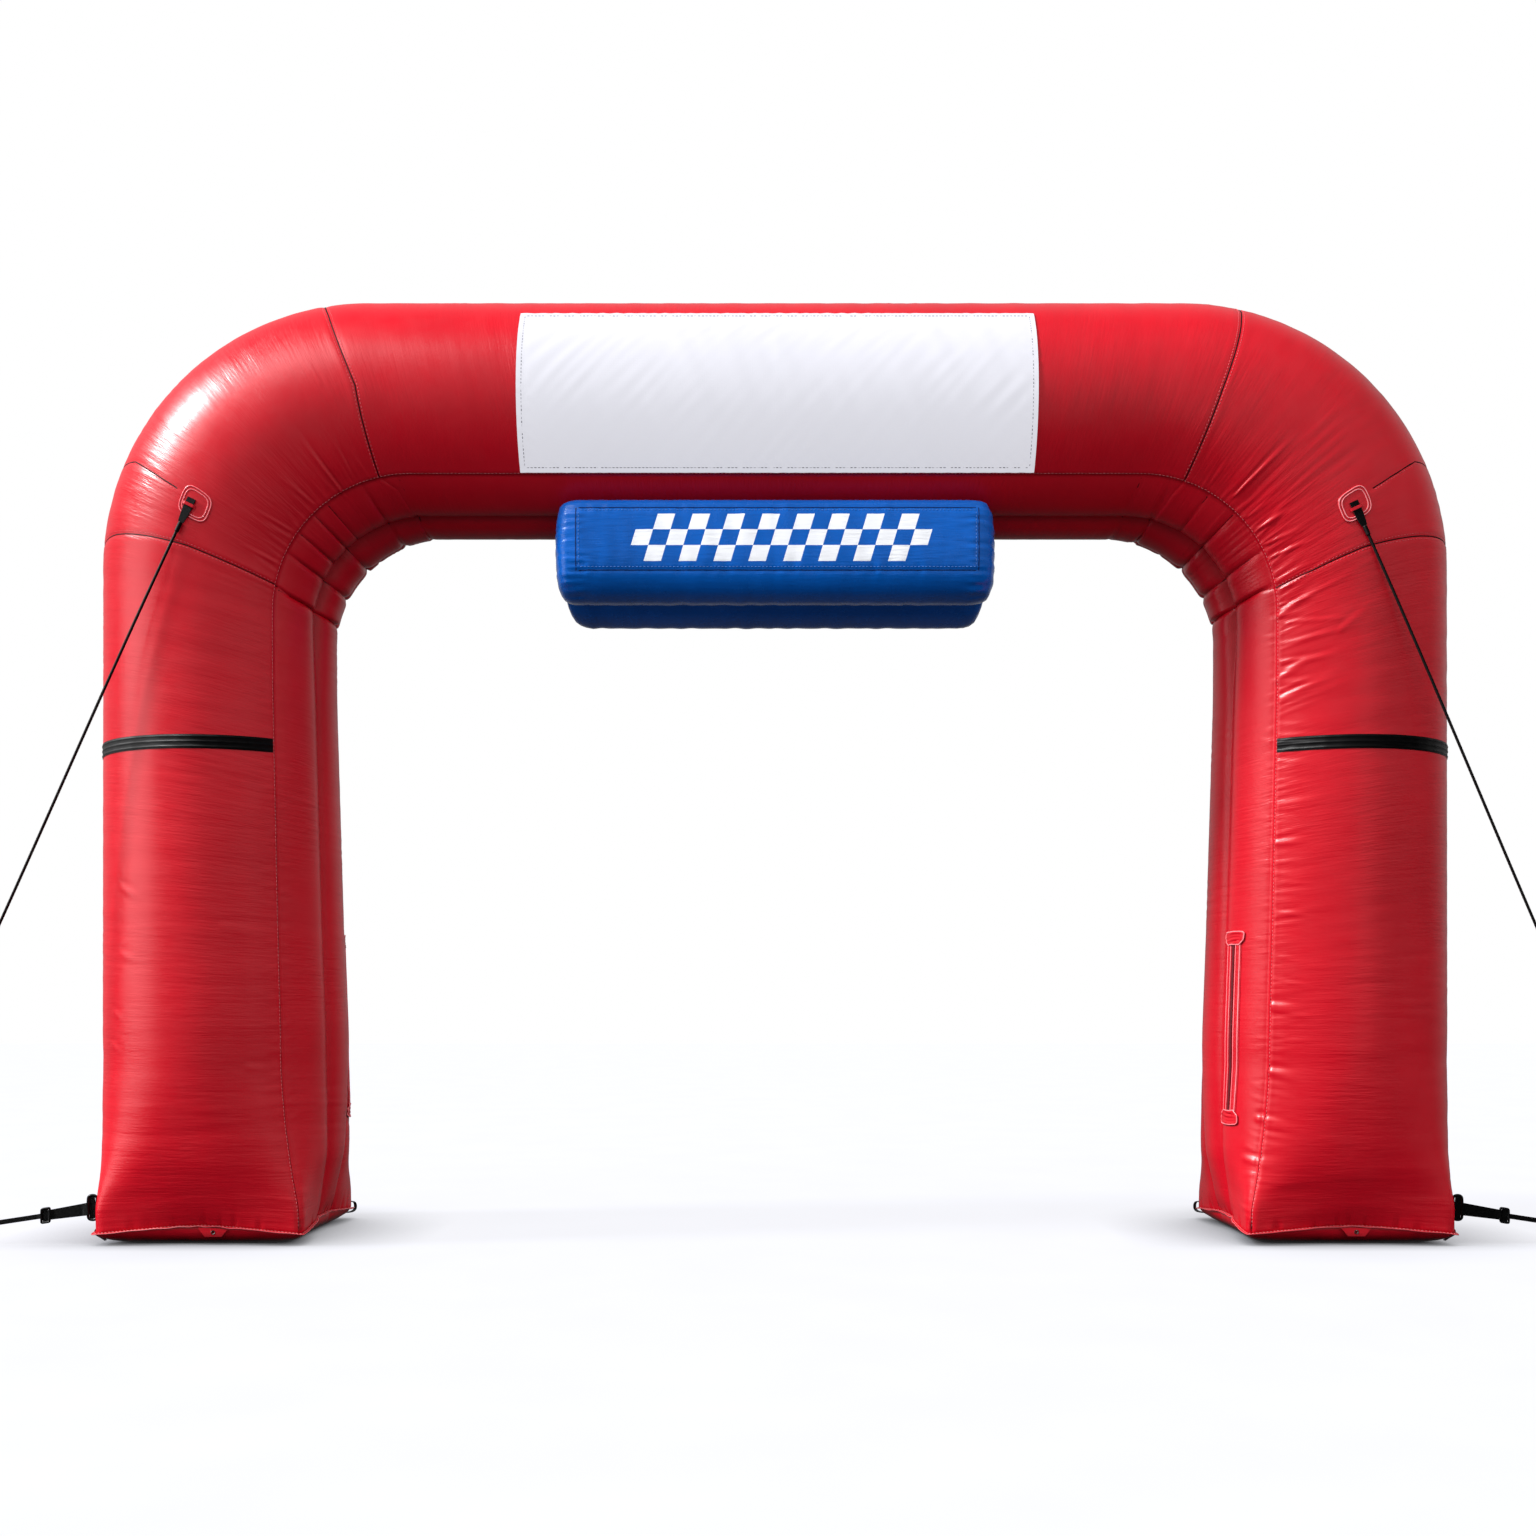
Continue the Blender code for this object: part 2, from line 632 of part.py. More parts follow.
def deflation_zip(side):
    """Zip strip on an inner lobe: the front lobe of the right leg and the rear lobe of the left."""
    step = LOBE_ANGLE / STEPS_PER_LOBE
    angles = [side * (SEAM_ANGLE - LOBE_ANGLE + step * place) for place in ZIP_LOBE_STEPS]
    skin(side_name("deflation_zip", side), side, [(run, sorted(angles, reverse=True)) for run in ZIP_HEIGHTS],
         "red_coated_fabric")


def patch_run():
    return LEG_RUN + PATCH_BEND_ANGLE / 90 * BEND_LENGTH


def guy_patch(side):
    """Reinforcement welded to the front of a shoulder, with cut corners."""
    middle = patch_run()
    inside = [run for run in RUNS[side] if abs(run - middle) < PATCH_HALF_RUN - 0.012]
    marks = [middle + PATCH_HALF_RUN * share for share in (-1.0, -0.6, 0.6, 1.0)]
    rows = []
    for run in sorted([*marks, *inside]):
        out = abs(run - middle) / PATCH_HALF_RUN
        reach = 1.0 if out <= 0.6 else mix(1.0, PATCH_CUT, (out - 0.6) / 0.4)
        rows.append((run, [mix(90.0, PATCH_ANGLES[1], reach), 90.0, mix(90.0, PATCH_ANGLES[0], reach)]))
    skin(side_name("guy_patch", side), side, rows, "red_coated_fabric")


def guy_frame(line):
    """Start of a guy line on its patch, the way it leaves along the patch, and the way across it."""
    top_y, low_y = (
        facet_point(line.side, LEG_RUN + angle / 90 * BEND_LENGTH, 90.0).y for angle in WEBBING_BEND_ANGLES
    )
    front = top_y - SKIN_GAP - CLOTH - GAP
    start = Vector((line.side * line.top_x, front - GUY_WEBBING / 2, line.top_z))
    end = Vector((line.side * line.end_x, line.end_y, line.end_z))
    down = Vector((end.x - start.x, 0.0, end.z - start.z)).normalized()
    down = (down + Vector((0.0, (low_y - top_y) / GUY_WEBBING_LENGTH, 0.0))).normalized()
    return start, end, down, down.cross(Vector((0.0, 1.0, 0.0))).normalized()


def guy_loop(line):
    """Fabric bridge that holds the guy webbing to its patch."""
    start, _, down, across = guy_frame(line)
    foot_y = start.y + GUY_WEBBING / 2 + GAP
    recess = LOOP_FOOT * math.tan(math.radians((CORNER_ANGLE - SEAM_ANGLE) / STEPS_PER_SIDE / 2))
    rise = GUY_WEBBING + 2 * GAP + CLOTH / 2
    path = []
    for place, height in LOOP_SHAPE:
        lift = rise * height if height > 0 else CLOTH / 2 + GAP + recess * height
        forwards = Vector((0.0, foot_y - start.y - lift, 0.0))
        path.append(start + down * LOOP_AT + across * (LOOP_FOOT * place) + forwards)
    sweep(side_name("guy_loop", line.side), path, strip(CLOTH, LOOP_WIDTH), down, "red_coated_fabric")


def sleeve(name, start, down, across, length, thick, wide):
    """Short wrapped sleeve along a guy line, with an oval section."""
    path = [start + down * (length * share) for share, _ in SLEEVE_SHAPE]
    sections = [
        [(thick * share * a, wide * share * b) for a, b in circle(1.0, 10)] for _, share in SLEEVE_SHAPE
    ]
    sweep(name, path, lambda place: sections[place], across, "black_rope")


def guy_webbing(line):
    """Webbing tongue on the patch, and the sleeve that holds the rope to it."""
    start, _, down, across = guy_frame(line)
    path = [start + down * place for place, _ in GUY_WEBBING_WIDTHS]
    sweep(
        side_name("guy_webbing", line.side), path,
        lambda place: strip(GUY_WEBBING, GUY_WEBBING_WIDTHS[place][1]), across, "black_webbing",
    )
    sleeve(
        side_name("guy_sleeve", line.side), start + down * (GUY_WEBBING_LENGTH + GAP), down, across,
        GUY_SLEEVE_LENGTH, GUY_SLEEVE_RADIUS, GUY_SLEEVE_RADIUS,
    )


def guy_rope(line):
    """Taut rope from the sleeve to its end loop, with a slight sag."""
    start, end, down, across = guy_frame(line)
    start = start + down * (GUY_WEBBING_LENGTH + GUY_SLEEVE_LENGTH + SLEEVE_GAP + GAP)
    curve = bpy.data.curves.new(side_name("guy_rope", line.side), "CURVE")
    curve.dimensions = "3D"
    curve.bevel_depth = ROPE_RADIUS
    curve.bevel_resolution = 2
    curve.use_fill_caps = True
    spline = curve.splines.new("POLY")
    spline.points.add(ROPE_POINTS - 1)
    for place, point in enumerate(spline.points):
        share = place / (ROPE_POINTS - 1)
        at = start.lerp(end, share)
        at.y = mix(start.y, end.y, share * share * (2 - share))
        at.z -= ROPE_SAG * 4 * share * (1 - share)
        point.co = (*at, 1.0)
    curve.materials.append(finish_material("black_rope"))
    rope = bpy.data.objects.new(curve.name, curve)
    bpy.context.scene.collection.objects.link(rope)

    sleeve(
        side_name("guy_end_sleeve", line.side), end + down * SLEEVE_GAP, down, across,
        END_SLEEVE_LENGTH, END_SLEEVE_THICK, END_SLEEVE_WIDE,
    )
    root = end + down * (END_SLEEVE_LENGTH + 2 * SLEEVE_GAP + END_LOOP_SLANT)
    path = []
    for step in range(END_LOOP_STEPS + 1):
        turn = math.pi * step / END_LOOP_STEPS
        out = (ROPE_RADIUS + SLEEVE_GAP) * math.cos(turn) + END_LOOP_HALF_WIDTH * math.sin(2 * turn)
        path.append(root + down * (END_LOOP_LENGTH * math.sin(turn)) + across * out)
    sweep(
        side_name("guy_end_loop", line.side), path, circle(ROPE_RADIUS, 8), Vector((0.0, 1.0, 0.0)),
        "black_rope",
    )


def strap_z(x):
    """Height of the anchor's straight line at a distance |X| from the middle."""
    return STRAP_ZERO_Z + STRAP_FALL * (x - RING_X[1])


def place_flat(side, points, z=0.0):
    return [Vector((side * x, y, z)) for x, y in points]


def fall_outwards(made):
    """Tilts an anchor piece that was made level, so that it follows the strap's fall."""
    for vertex in made.data.vertices:
        vertex.co.z += strap_z(abs(vertex.co.x))


def belt_path(near_x, near_radius, far_x, far_radius):
    """Closed path of webbing round two bars, with its layers together between them."""
    layer = WEBBING / 2 + GAP
    neck_near = near_x + 2.2 * near_radius + BELT_NECK
    neck_far = far_x - 2.2 * far_radius - BELT_NECK
    path = [(neck_near, -layer), (neck_far, -layer)]
    path += circle(far_radius, 8, (far_x, 0.0), -100, 200, whole=False)
    path += [(neck_far, layer), (neck_near, layer)]
    path += circle(near_radius, 8, (near_x, 0.0), 80, 200, whole=False)
    return [(x, ANCHOR_Y + y) for x, y in path]


def bar_path(near_x, far_x, low_z, high_z, corner):
    """Closed rounded rectangle as (|X|, Z)."""
    corners = (
        (far_x - corner, high_z - corner, 0), (near_x + corner, high_z - corner, 90),
        (near_x + corner, low_z + corner, 180), (far_x - corner, low_z + corner, 270),
    )
    path = []
    for x, z, start in corners:
        path += circle(corner, 3, (x, z), start, 90, whole=False)
    return path


def anchor_ring(side):
    """Oval ring at the outer front corner, and the sewn tab that holds it to the leg."""
    front = Vector((0.0, 1.0, 0.0))
    path = [Vector((side * x, ANCHOR_Y, z)) for x, z in bar_path(*RING_X, *RING_Z, RING_CORNER)]
    sweep(side_name("base_ring", side), path, circle(RING_BAR, 8), front, "black_plastic", closed=True)

    wrap = RING_BAR + GAP + WEBBING / 2
    bar_x = RING_X[0]
    around = circle(wrap, 8, (bar_x, ANCHOR_Y), 180, 180, whole=False)
    root, tail = Vector((bar_x - wrap, ANCHOR_Y + TAB_ROOT)), Vector((TAB_TAIL[0], ANCHOR_Y + TAB_TAIL[1]))
    layer = Vector((WEBBING + 2 * GAP, 0.0))
    path = [tail, root, *around, root.lerp(tail, 0.25) + layer, root.lerp(tail, 0.60) + layer]
    middle = mix(*TAB_HEIGHTS, 0.5)
    sweep(
        side_name("ring_tab", side), place_flat(side, path, middle),
        strip(WEBBING, TAB_HEIGHTS[1] - TAB_HEIGHTS[0]), Vector((0.0, 0.0, 1.0)), "black_webbing",
    )


def anchor_strap(side):
    """Webbing from the ring to the buckle, and the narrow strap from the buckle outwards."""
    up = Vector((0.0, 0.0, 1.0))
    wrap = WEBBING / 2 + GAP
    near_bar, far_bar = BUCKLE_X - BUCKLE_HALF_WIDTH, BUCKLE_X + BUCKLE_HALF_WIDTH
    path = belt_path(RING_X[1], RING_BAR + wrap, near_bar, BUCKLE_BAR + wrap)
    widths = [mix(*WEBBING_WIDTHS, (x - RING_X[1]) / (near_bar - RING_X[1])) for x, _ in path]
    belt = sweep(
        side_name("anchor_webbing", side), place_flat(side, path),
        lambda place: strip(WEBBING, widths[place]), up, "black_webbing", closed=True,
    )
    fall_outwards(belt)

    half = BUCKLE_HALF_HEIGHT
    outline = bar_path(near_bar, far_bar, -half, half, BUCKLE_CORNER)
    path = [Vector((side * x, ANCHOR_Y, z)) for x, z in outline]
    frame = sweep(
        side_name("anchor_buckle", side), path, circle(BUCKLE_BAR, 8), Vector((0.0, 1.0, 0.0)),
        "black_plastic", closed=True,
    )
    fall_outwards(frame)

    end_x = STRAP_END_X[side]
    eye = BUCKLE_BAR + wrap
    layer = WEBBING / 2 + GAP
    path = [(far_bar + STRAP_TAIL, layer), (far_bar + STRAP_NECK, layer)]
    path += circle(eye, 8, (far_bar, 0.0), 80, 200, whole=False)
    path += [(far_bar + STRAP_NECK, -layer), (far_bar + STRAP_SEWN, -layer)]
    path += [(mix(far_bar + STRAP_SEWN, end_x, step / 4), -layer * (1 - step / 4)) for step in range(1, 5)]
    path = [(x, ANCHOR_Y + y) for x, y in path]
    strap = sweep(
        side_name("anchor_strap", side), place_flat(side, path), strip(WEBBING, STRAP_WIDTH), up,
        "black_webbing",
    )
    fall_outwards(strap)

    path = belt_path(end_x + wrap + WEBBING / 2 + GAP, wrap, end_x + 0.040, EYE_RADIUS)
    end = sweep(
        side_name("anchor_end_loop", side), place_flat(side, path), strip(WEBBING, STRAP_WIDTH), up,
        "black_webbing", closed=True,
    )
    fall_outwards(end)


def corner_strap(side):
    """Short webbing that runs from below the ring round the corner of the base seam and under it."""
    path = [Vector((side * x, ANCHOR_Y, z)) for x, z in CORNER_STRAP_PATH]
    sweep(
        side_name("corner_strap", side), path, strip(WEBBING, CORNER_STRAP_WIDTH), Vector((0.0, 1.0, 0.0)),
        "black_webbing",
    )


def rear_loop(side):
    """Webbing loop that stands out from the inner rear corner of the base."""
    outwards = Vector((-side, 1.0, 0.0)).normalized()
    corner = section_point(base_station(*BASE_ROWS[-1]), side, -SEAM_ANGLE)
    corner.z = 0.0
    across = Vector((0.0, 0.0, 1.0)).cross(outwards)
    path = [corner + outwards * out + Vector((0.0, 0.0, z)) for out, z in REAR_LOOP_PATH]
    sweep(
        side_name("rear_loop", side), path, strip(2 * WEBBING, REAR_LOOP_WIDTH), across, "black_webbing"
    )


def flange_marks(side):
    """Edge of the base seam's flange along the front of a leg, as (X, Z) marks."""
    flange = base_station(*BASE_ROWS[FLANGE_ROW])
    edge = [section_point(flange, side, angle) for angle in columns_between(SEAM_ANGLE, CORNER_ANGLE)]
    return sorted((point.x, point.z) for point in edge)


def eyelet_tab(side):
    """Flap that hangs from the base seam at the front of a leg, with a pressed metal eyelet."""
    x, y = EYELET_TAB_X[side], -EYELET_TAB_Y
    edge = flange_marks(side)
    middle = between_marks(edge, x) - EYELET_TAB_DROP / 2
    hole = EYELET_RADIUS + 0.0020
    steps = 16
    outline = []
    for step in range(steps):
        turn = 2 * math.pi * step / steps
        across, up = math.cos(turn), math.sin(turn)
        reach = max(abs(across), abs(up))
        across, up = across / reach, up / reach
        half = mix(EYELET_TAB_HALF * 0.55, EYELET_TAB_HALF, (up + 1) / 2)
        height = middle + EYELET_TAB_DROP / 2 * up
        if up > 0.99:
            height = between_marks(edge, x + half * across) - GAP
        outline.append((x + half * across, height))
    rounded = [(x + hole * math.cos(t), middle + hole * math.sin(t)) for t in
               (2 * math.pi * step / steps for step in range(steps))]
    front, back = y - CLOTH / 2, y + CLOTH / 2
    rings = [
        [Vector((a, front, b)) for a, b in outline], [Vector((a, back, b)) for a, b in outline],
        [Vector((a, back, b)) for a, b in rounded], [Vector((a, front, b)) for a, b in rounded],
    ]
    loft(side_name("eyelet_tab", side), rings, "red_coated_fabric", closed=True)

    sheet = CLOTH / 2 + GAP
    profile = (
        (EYELET_RADIUS, -sheet - 0.0010), (EYELET_FLANGE, -sheet - 0.0008), (EYELET_FLANGE, -sheet),
        (hole - GAP, -sheet), (hole - GAP, sheet), (EYELET_FLANGE, sheet),
        (EYELET_FLANGE, sheet + 0.0008), (EYELET_RADIUS, sheet + 0.0010),
    )
    rings = []
    for step in range(12):
        turn = 2 * math.pi * step / 12
        rings.append([
            Vector((x + radius * math.cos(turn), y + out, middle + radius * math.sin(turn)))
            for radius, out in profile
        ])
    loft(side_name("base_eyelet", side), rings, "steel_eyelet", closed=True)


def main():
    for old in list(bpy.data.objects):
        bpy.data.objects.remove(old, do_unlink=True)
    arch_tube()
    sign_pillow()
    banner_panel()
    for side in (-1, 1):
        leg_band(side)
        deflation_zip(side)
        guy_patch(side)
        anchor_ring(side)
        anchor_strap(side)
        corner_strap(side)
        rear_loop(side)
        eyelet_tab(side)
    for line in GUY_LINES:
        guy_loop(line)
        guy_webbing(line)
        guy_rope(line)


main()
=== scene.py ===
"""Dresses the inflatable arch: coated fabric with its seams and puckers, pillow, banner, guy lines and anchors."""

import json
import math
from collections import namedtuple

import bmesh
import bpy
import numpy as np
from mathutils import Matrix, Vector

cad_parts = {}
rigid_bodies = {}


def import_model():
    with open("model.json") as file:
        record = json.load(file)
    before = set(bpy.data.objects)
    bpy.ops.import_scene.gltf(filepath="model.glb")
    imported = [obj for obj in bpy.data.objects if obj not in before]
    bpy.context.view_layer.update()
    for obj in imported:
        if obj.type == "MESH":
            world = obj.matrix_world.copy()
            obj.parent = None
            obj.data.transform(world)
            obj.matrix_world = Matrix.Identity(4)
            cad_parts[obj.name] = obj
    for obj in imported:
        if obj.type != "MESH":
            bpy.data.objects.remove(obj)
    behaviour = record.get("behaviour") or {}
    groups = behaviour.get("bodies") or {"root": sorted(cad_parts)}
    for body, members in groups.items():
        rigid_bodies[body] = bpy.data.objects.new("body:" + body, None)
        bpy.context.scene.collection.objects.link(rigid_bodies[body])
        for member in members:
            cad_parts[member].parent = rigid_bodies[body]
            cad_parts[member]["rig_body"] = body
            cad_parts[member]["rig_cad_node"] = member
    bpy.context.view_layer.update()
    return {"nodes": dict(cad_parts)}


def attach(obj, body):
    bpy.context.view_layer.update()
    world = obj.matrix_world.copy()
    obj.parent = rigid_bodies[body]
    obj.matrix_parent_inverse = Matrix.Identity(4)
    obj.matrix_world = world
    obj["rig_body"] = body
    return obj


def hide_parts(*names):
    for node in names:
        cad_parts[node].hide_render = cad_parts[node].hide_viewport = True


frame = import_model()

bl_info = {
    "name": "Inflatable Arch",
    "version": (1, 0, 0),
    "blender": (4, 5, 0),
    "location": "3D Viewport > Sidebar > Arch",
    "description": "Builds the fabric, seams, lines and anchors of an inflatable arch on its solid frame",
    "category": "Object",
}

SIDES = (-1, 1)
UP = (0.0, 0.0, 1.0)

# The tube, as its solid has it. Bends are |X|, Z and radius; a run is the distance up a leg, round and along.
OUTER_BEND = (1.857, 3.055, 1.250)
INNER_BEND = (1.561, 2.750, 0.500)
TUBE_DEPTH = 0.525
SHOULDER_DEPTH = 0.020
BEND_LENGTH = (OUTER_BEND[2] + INNER_BEND[2]) / 2 * math.pi / 2
LEG_RUN = (OUTER_BEND[1] + INNER_BEND[1]) / 2
LEG_CENTRE = (OUTER_BEND[0] + OUTER_BEND[2] + INNER_BEND[0] + INNER_BEND[2]) / 2
LEG_HALF = (OUTER_BEND[0] + OUTER_BEND[2] - INNER_BEND[0] - INNER_BEND[2]) / 2
BEAM_RUN = LEG_RUN + BEND_LENGTH
BEAM_HALF_LENGTH = (OUTER_BEND[0] + INNER_BEND[0]) / 2
CENTRE_RUN = BEAM_RUN + BEAM_HALF_LENGTH
BASE_CENTRE = 2.545
BASE_HALF = 0.460
# Height, centre and half width of a leg.
LEG_MARKS = (
    (0.055, 2.545, 0.460), (0.170, 2.547, 0.464), (0.260, 2.551, 0.470), (0.380, 2.551, 0.495),
    (0.520, 2.554, 0.520), (0.680, 2.557, 0.543), (0.900, 2.559, 0.548), (1.430, 2.568, 0.539),
    (2.600, LEG_CENTRE, LEG_HALF),
)
ROUND_FROM, ROUND_BY = 0.06, 0.80
SLANT_FROM = 0.90
SIDE_PULL = 0.065
CORNER_MARKS = (
    (0.055, 1.390), (0.170, 1.375), (0.260, 1.300), (0.380, 1.185), (0.520, 1.090), (0.680, 1.025),
    (0.800, 1.000),
)
# How far the middle of each side swells above the base seam, as a share of its half width.
SWELL_MARKS = (
    (0.055, 0.000), (0.080, 0.020), (0.110, 0.035), (0.170, 0.050), (0.260, 0.060), (0.380, 0.051),
    (0.520, 0.022), (0.680, 0.000),
)
SOLE_CORNER, SOLE_HEIGHT = 1.300, 0.03
REAR_CORNER = 0.97
RIM_HEIGHT, RIM_LIFT, RIM_FADE, RIM_POWER = 0.055, 0.034, 0.300, 0.42
# Rows of the bottom panel, from the flat sole up to the base seam: height, inset and share of the rim's lift.
BASE_ROWS = (
    (0.0000, 0.300, 0.00), (0.0000, 0.160, 0.00), (0.0000, 0.110, 0.00), (0.0020, 0.092, 0.02),
    (0.0080, 0.066, 0.08), (0.0170, 0.042, 0.25), (0.0300, 0.022, 0.50), (0.0400, 0.010, 0.75),
    (0.0480, 0.004, 0.92), (0.0510, 0.0055, 1.00),
)
# Where the skin's own rows begin, above the base seam.
SKIN_FROM = 0.0565
SEAM_ANGLE, CORNER_ANGLE = 47.5, 132.5
LOBE_ANGLE = 2 * SEAM_ANGLE / 3
LOBE_POWER = 3.0
SEAM_SHARE = 0.14
CREASE_MARKS = (
    (0.06, 0.014), (0.50, 0.034), (2.60, 0.042), (LEG_RUN + 0.10 * BEND_LENGTH, 0.078),
    (LEG_RUN + 0.45 * BEND_LENGTH, 0.084), (LEG_RUN + 0.75 * BEND_LENGTH, 0.066), (BEAM_RUN, 0.052),
)
# How far up and down each table of the legs is eased.
LEG_SMOOTH, CORNER_SMOOTH, SWELL_SMOOTH, CREASE_SMOOTH = 0.06, 0.04, 0.03, 0.04
# Radial tucks of each bend: bend angle, and pinch on the front, middle and rear lobe.
TUCKS = {
    -1: (
        (10.5, 0.60, 0.60, 0.60), (26.0, 0.50, 0.60, 0.60), (35.5, 0.50, 0.00, 0.00),
        (45.0, 0.50, 0.60, 0.60), (52.0, 0.25, 0.00, 0.20), (68.5, 0.60, 0.60, 0.60),
        (83.5, 0.35, 0.40, 0.40),
    ),
    1: (
        (12.5, 0.60, 0.60, 0.60), (27.0, 0.50, 0.60, 0.60), (46.0, 0.50, 0.60, 0.60),
        (59.0, 0.30, 0.00, 0.20), (74.5, 0.60, 0.60, 0.60), (87.5, 0.30, 0.40, 0.40),
    ),
}
TUCK_POWER, TUCK_SHARE = 7.0, 0.44
# Bend angles before and after a bend where its tucks fade out.
TUCK_ENDS = (-14.0, 104.0)


def mix(low, high, share):
    return low + (high - low) * share


def smooth_share(low, high, value):
    share = np.clip((value - low) / (high - low), 0.0, 1.0)
    return share * share * (3 - 2 * share)


def between(marks, value, column=1, reach=0.0):
    """Value at a place in a table whose rows start with the place, eased over a reach on both sides."""
    places, values = [row[0] for row in marks], [row[column] for row in marks]
    steps = (-1.0, -0.5, 0.0, 0.5, 1.0) if reach else (0.0,)
    return sum(np.interp(value + reach * step, places, values) for step in steps) / len(steps)


def ridge(value, place, width):
    """A soft ridge at a place, 1 high at its middle."""
    return np.exp(-((value - place) / width) ** 2)


def unit(vectors):
    """Vectors brought to length 1."""
    return vectors / np.maximum(np.linalg.norm(vectors, axis=-1, keepdims=True), 1e-12)


def pinch(side, lobe, bend_angle):
    """How far the tucks of one lobe are pinched at a bend angle."""
    marks = [(row[0], row[lobe + 1]) for row in TUCKS[side] if row[lobe + 1] > 0]
    marks = [(TUCK_ENDS[0], 0.0), *marks, (TUCK_ENDS[1], 0.0)]
    found = np.zeros_like(bend_angle)
    for (low, at_low), (high, at_high) in zip(marks, marks[1:]):
        share = (bend_angle - low) / (high - low)
        inside = (share >= 0) & (share <= 1)
        near = np.where(share < 0.5, at_low, at_high)
        found = np.where(inside, TUCK_SHARE * near * np.abs(1 - 2 * share) ** TUCK_POWER, found)
    return found


Station = namedtuple("Station", "outer_x outer_z inner_x inner_z depth corner pull lift blend crease pinches")


def stations(run, side):
    """Sections of the tube at these runs."""
    run = np.asarray(run, float)
    bend = (run - LEG_RUN) / BEND_LENGTH * 90
    turn = np.radians(np.clip(bend, 0, 90))
    blend = np.where(run < LEG_RUN, smooth_share(ROUND_FROM, ROUND_BY, run), 1.0)
    centre, half = (between(LEG_MARKS, run, column, LEG_SMOOTH) for column in (1, 2))
    slant = np.maximum(0.0, run - SLANT_FROM) / (LEG_RUN - SLANT_FROM) * (OUTER_BEND[1] - LEG_RUN)
    fade = np.maximum(0.0, 1 - (np.maximum(run, RIM_HEIGHT) - RIM_HEIGHT) / RIM_FADE) ** 1.5
    left = np.clip(1 - (run - BEAM_RUN) / BEAM_HALF_LENGTH, -1.0, 1.0)
    leg, beam = run < LEG_RUN, run > BEAM_RUN
    ends = []
    for (x, z, radius), way in ((OUTER_BEND, 1), (INNER_BEND, -1)):
        end_x = np.where(leg, centre + way * half, np.where(beam, x * left, x + radius * np.cos(turn)))
        end_z = np.where(leg, run + way * slant, z + radius * np.sin(turn))
        ends += [end_x, end_z]
    depth = np.where(
        leg, half * mix(1.0, TUBE_DEPTH / LEG_HALF, blend), TUBE_DEPTH + SHOULDER_DEPTH * np.sin(2 * turn)
    )
    return Station(
        *ends, depth, np.where(leg, between(CORNER_MARKS, run, reach=CORNER_SMOOTH), 1.0),
        SIDE_PULL * fade - between(SWELL_MARKS, run, reach=SWELL_SMOOTH),
        RIM_LIFT * fade, blend, between(CREASE_MARKS, run, reach=CREASE_SMOOTH),
        [np.where(beam, 0.0, pinch(side, lobe, bend)) for lobe in range(3)],
    )


def base_stations(rows):
    """Sections of the bottom panel, from rows of height, inset and share of the rim's lift."""
    height, inset, share = (np.array(column, float)[:, None] for column in zip(*rows))
    half = BASE_HALF - inset
    none = np.zeros_like(height)
    return Station(
        BASE_CENTRE + half, height, BASE_CENTRE - half, height, half,
        mix(SOLE_CORNER, CORNER_MARKS[0][1], np.minimum(1.0, height / SOLE_HEIGHT)), SIDE_PULL * share,
        RIM_LIFT * share, none, CREASE_MARKS[0][1] * share, [none] * 3,
    )


def crease_depth(station, angle):
    """Depth of the creases between the three inner lobes, and of the tucks across them."""
    place = np.clip((SEAM_ANGLE - angle) / LOBE_ANGLE, 0.0, 2.9999)
    lobe = place.astype(int)
    across = place - lobe
    edge = np.abs(1 - 2 * across) ** LOBE_POWER
    at_seam = ((lobe == 0) & (across < 0.5)) | ((lobe == 2) & (across > 0.5))
    edge = np.where(at_seam, edge * SEAM_SHARE, edge)
    towards_seam = np.choose(lobe, [1 - across, 0 * across, across])
    pinches = np.choose(lobe, [p + 0 * across for p in station.pinches])
    tuck = pinches * (1 - 0.8 * towards_seam ** 2)
    inside = np.abs(angle) <= SEAM_ANGLE + 0.01
    return np.where(inside, station.crease * (edge + tuck - edge * tuck), 0.0)


def section(station, side, angle):
    """Points of the tube's skin, as an array whose last axis is X, Y, Z."""
    angle = angle + 0 * station.outer_x
    size = np.abs(angle)
    corner_turn = np.sign(angle) * np.interp(
        size, (0, SEAM_ANGLE, CORNER_ANGLE, 180), (0, 45, 135, 180)
    )
    turn = np.radians(mix(corner_turn, angle, station.blend))
    cosine, sine = np.cos(turn), np.sin(turn)
    corner = station.corner * np.where(sine < 0, mix(1.0, REAR_CORNER, 1 - station.blend), 1.0)
    power = math.log(2) / np.log(math.sqrt(2) / corner)
    reach = (np.abs(cosine) ** power + np.abs(sine) ** power) ** (-1 / power)
    middle = np.cos(2 * turn) ** 2
    reach = reach * (1 - station.pull * middle)
    depth = crease_depth(station, angle)
    out_x, out_z = (station.outer_x - station.inner_x) / 2, (station.outer_z - station.inner_z) / 2
    half = np.hypot(out_x, out_z)
    away = -cosine * (half * reach - depth) / half
    x = (station.outer_x + station.inner_x) / 2 + out_x * away
    z = (station.outer_z + station.inner_z) / 2 + out_z * away + station.lift * middle ** RIM_POWER
    return np.stack([side * x, -sine * (station.depth * reach - depth), z], axis=-1)


# Wrinkles of the skin. A hoop distance runs round the section from the passage side, plus at the front.

Fold = namedtuple("Fold", "run hoop length width depth tilt")
HOOP = TUBE_DEPTH * math.pi / 180
BASE_TUCKS, BASE_TUCK_FROM, BASE_TUCK_DEPTH = 34, 0.056, 0.0085
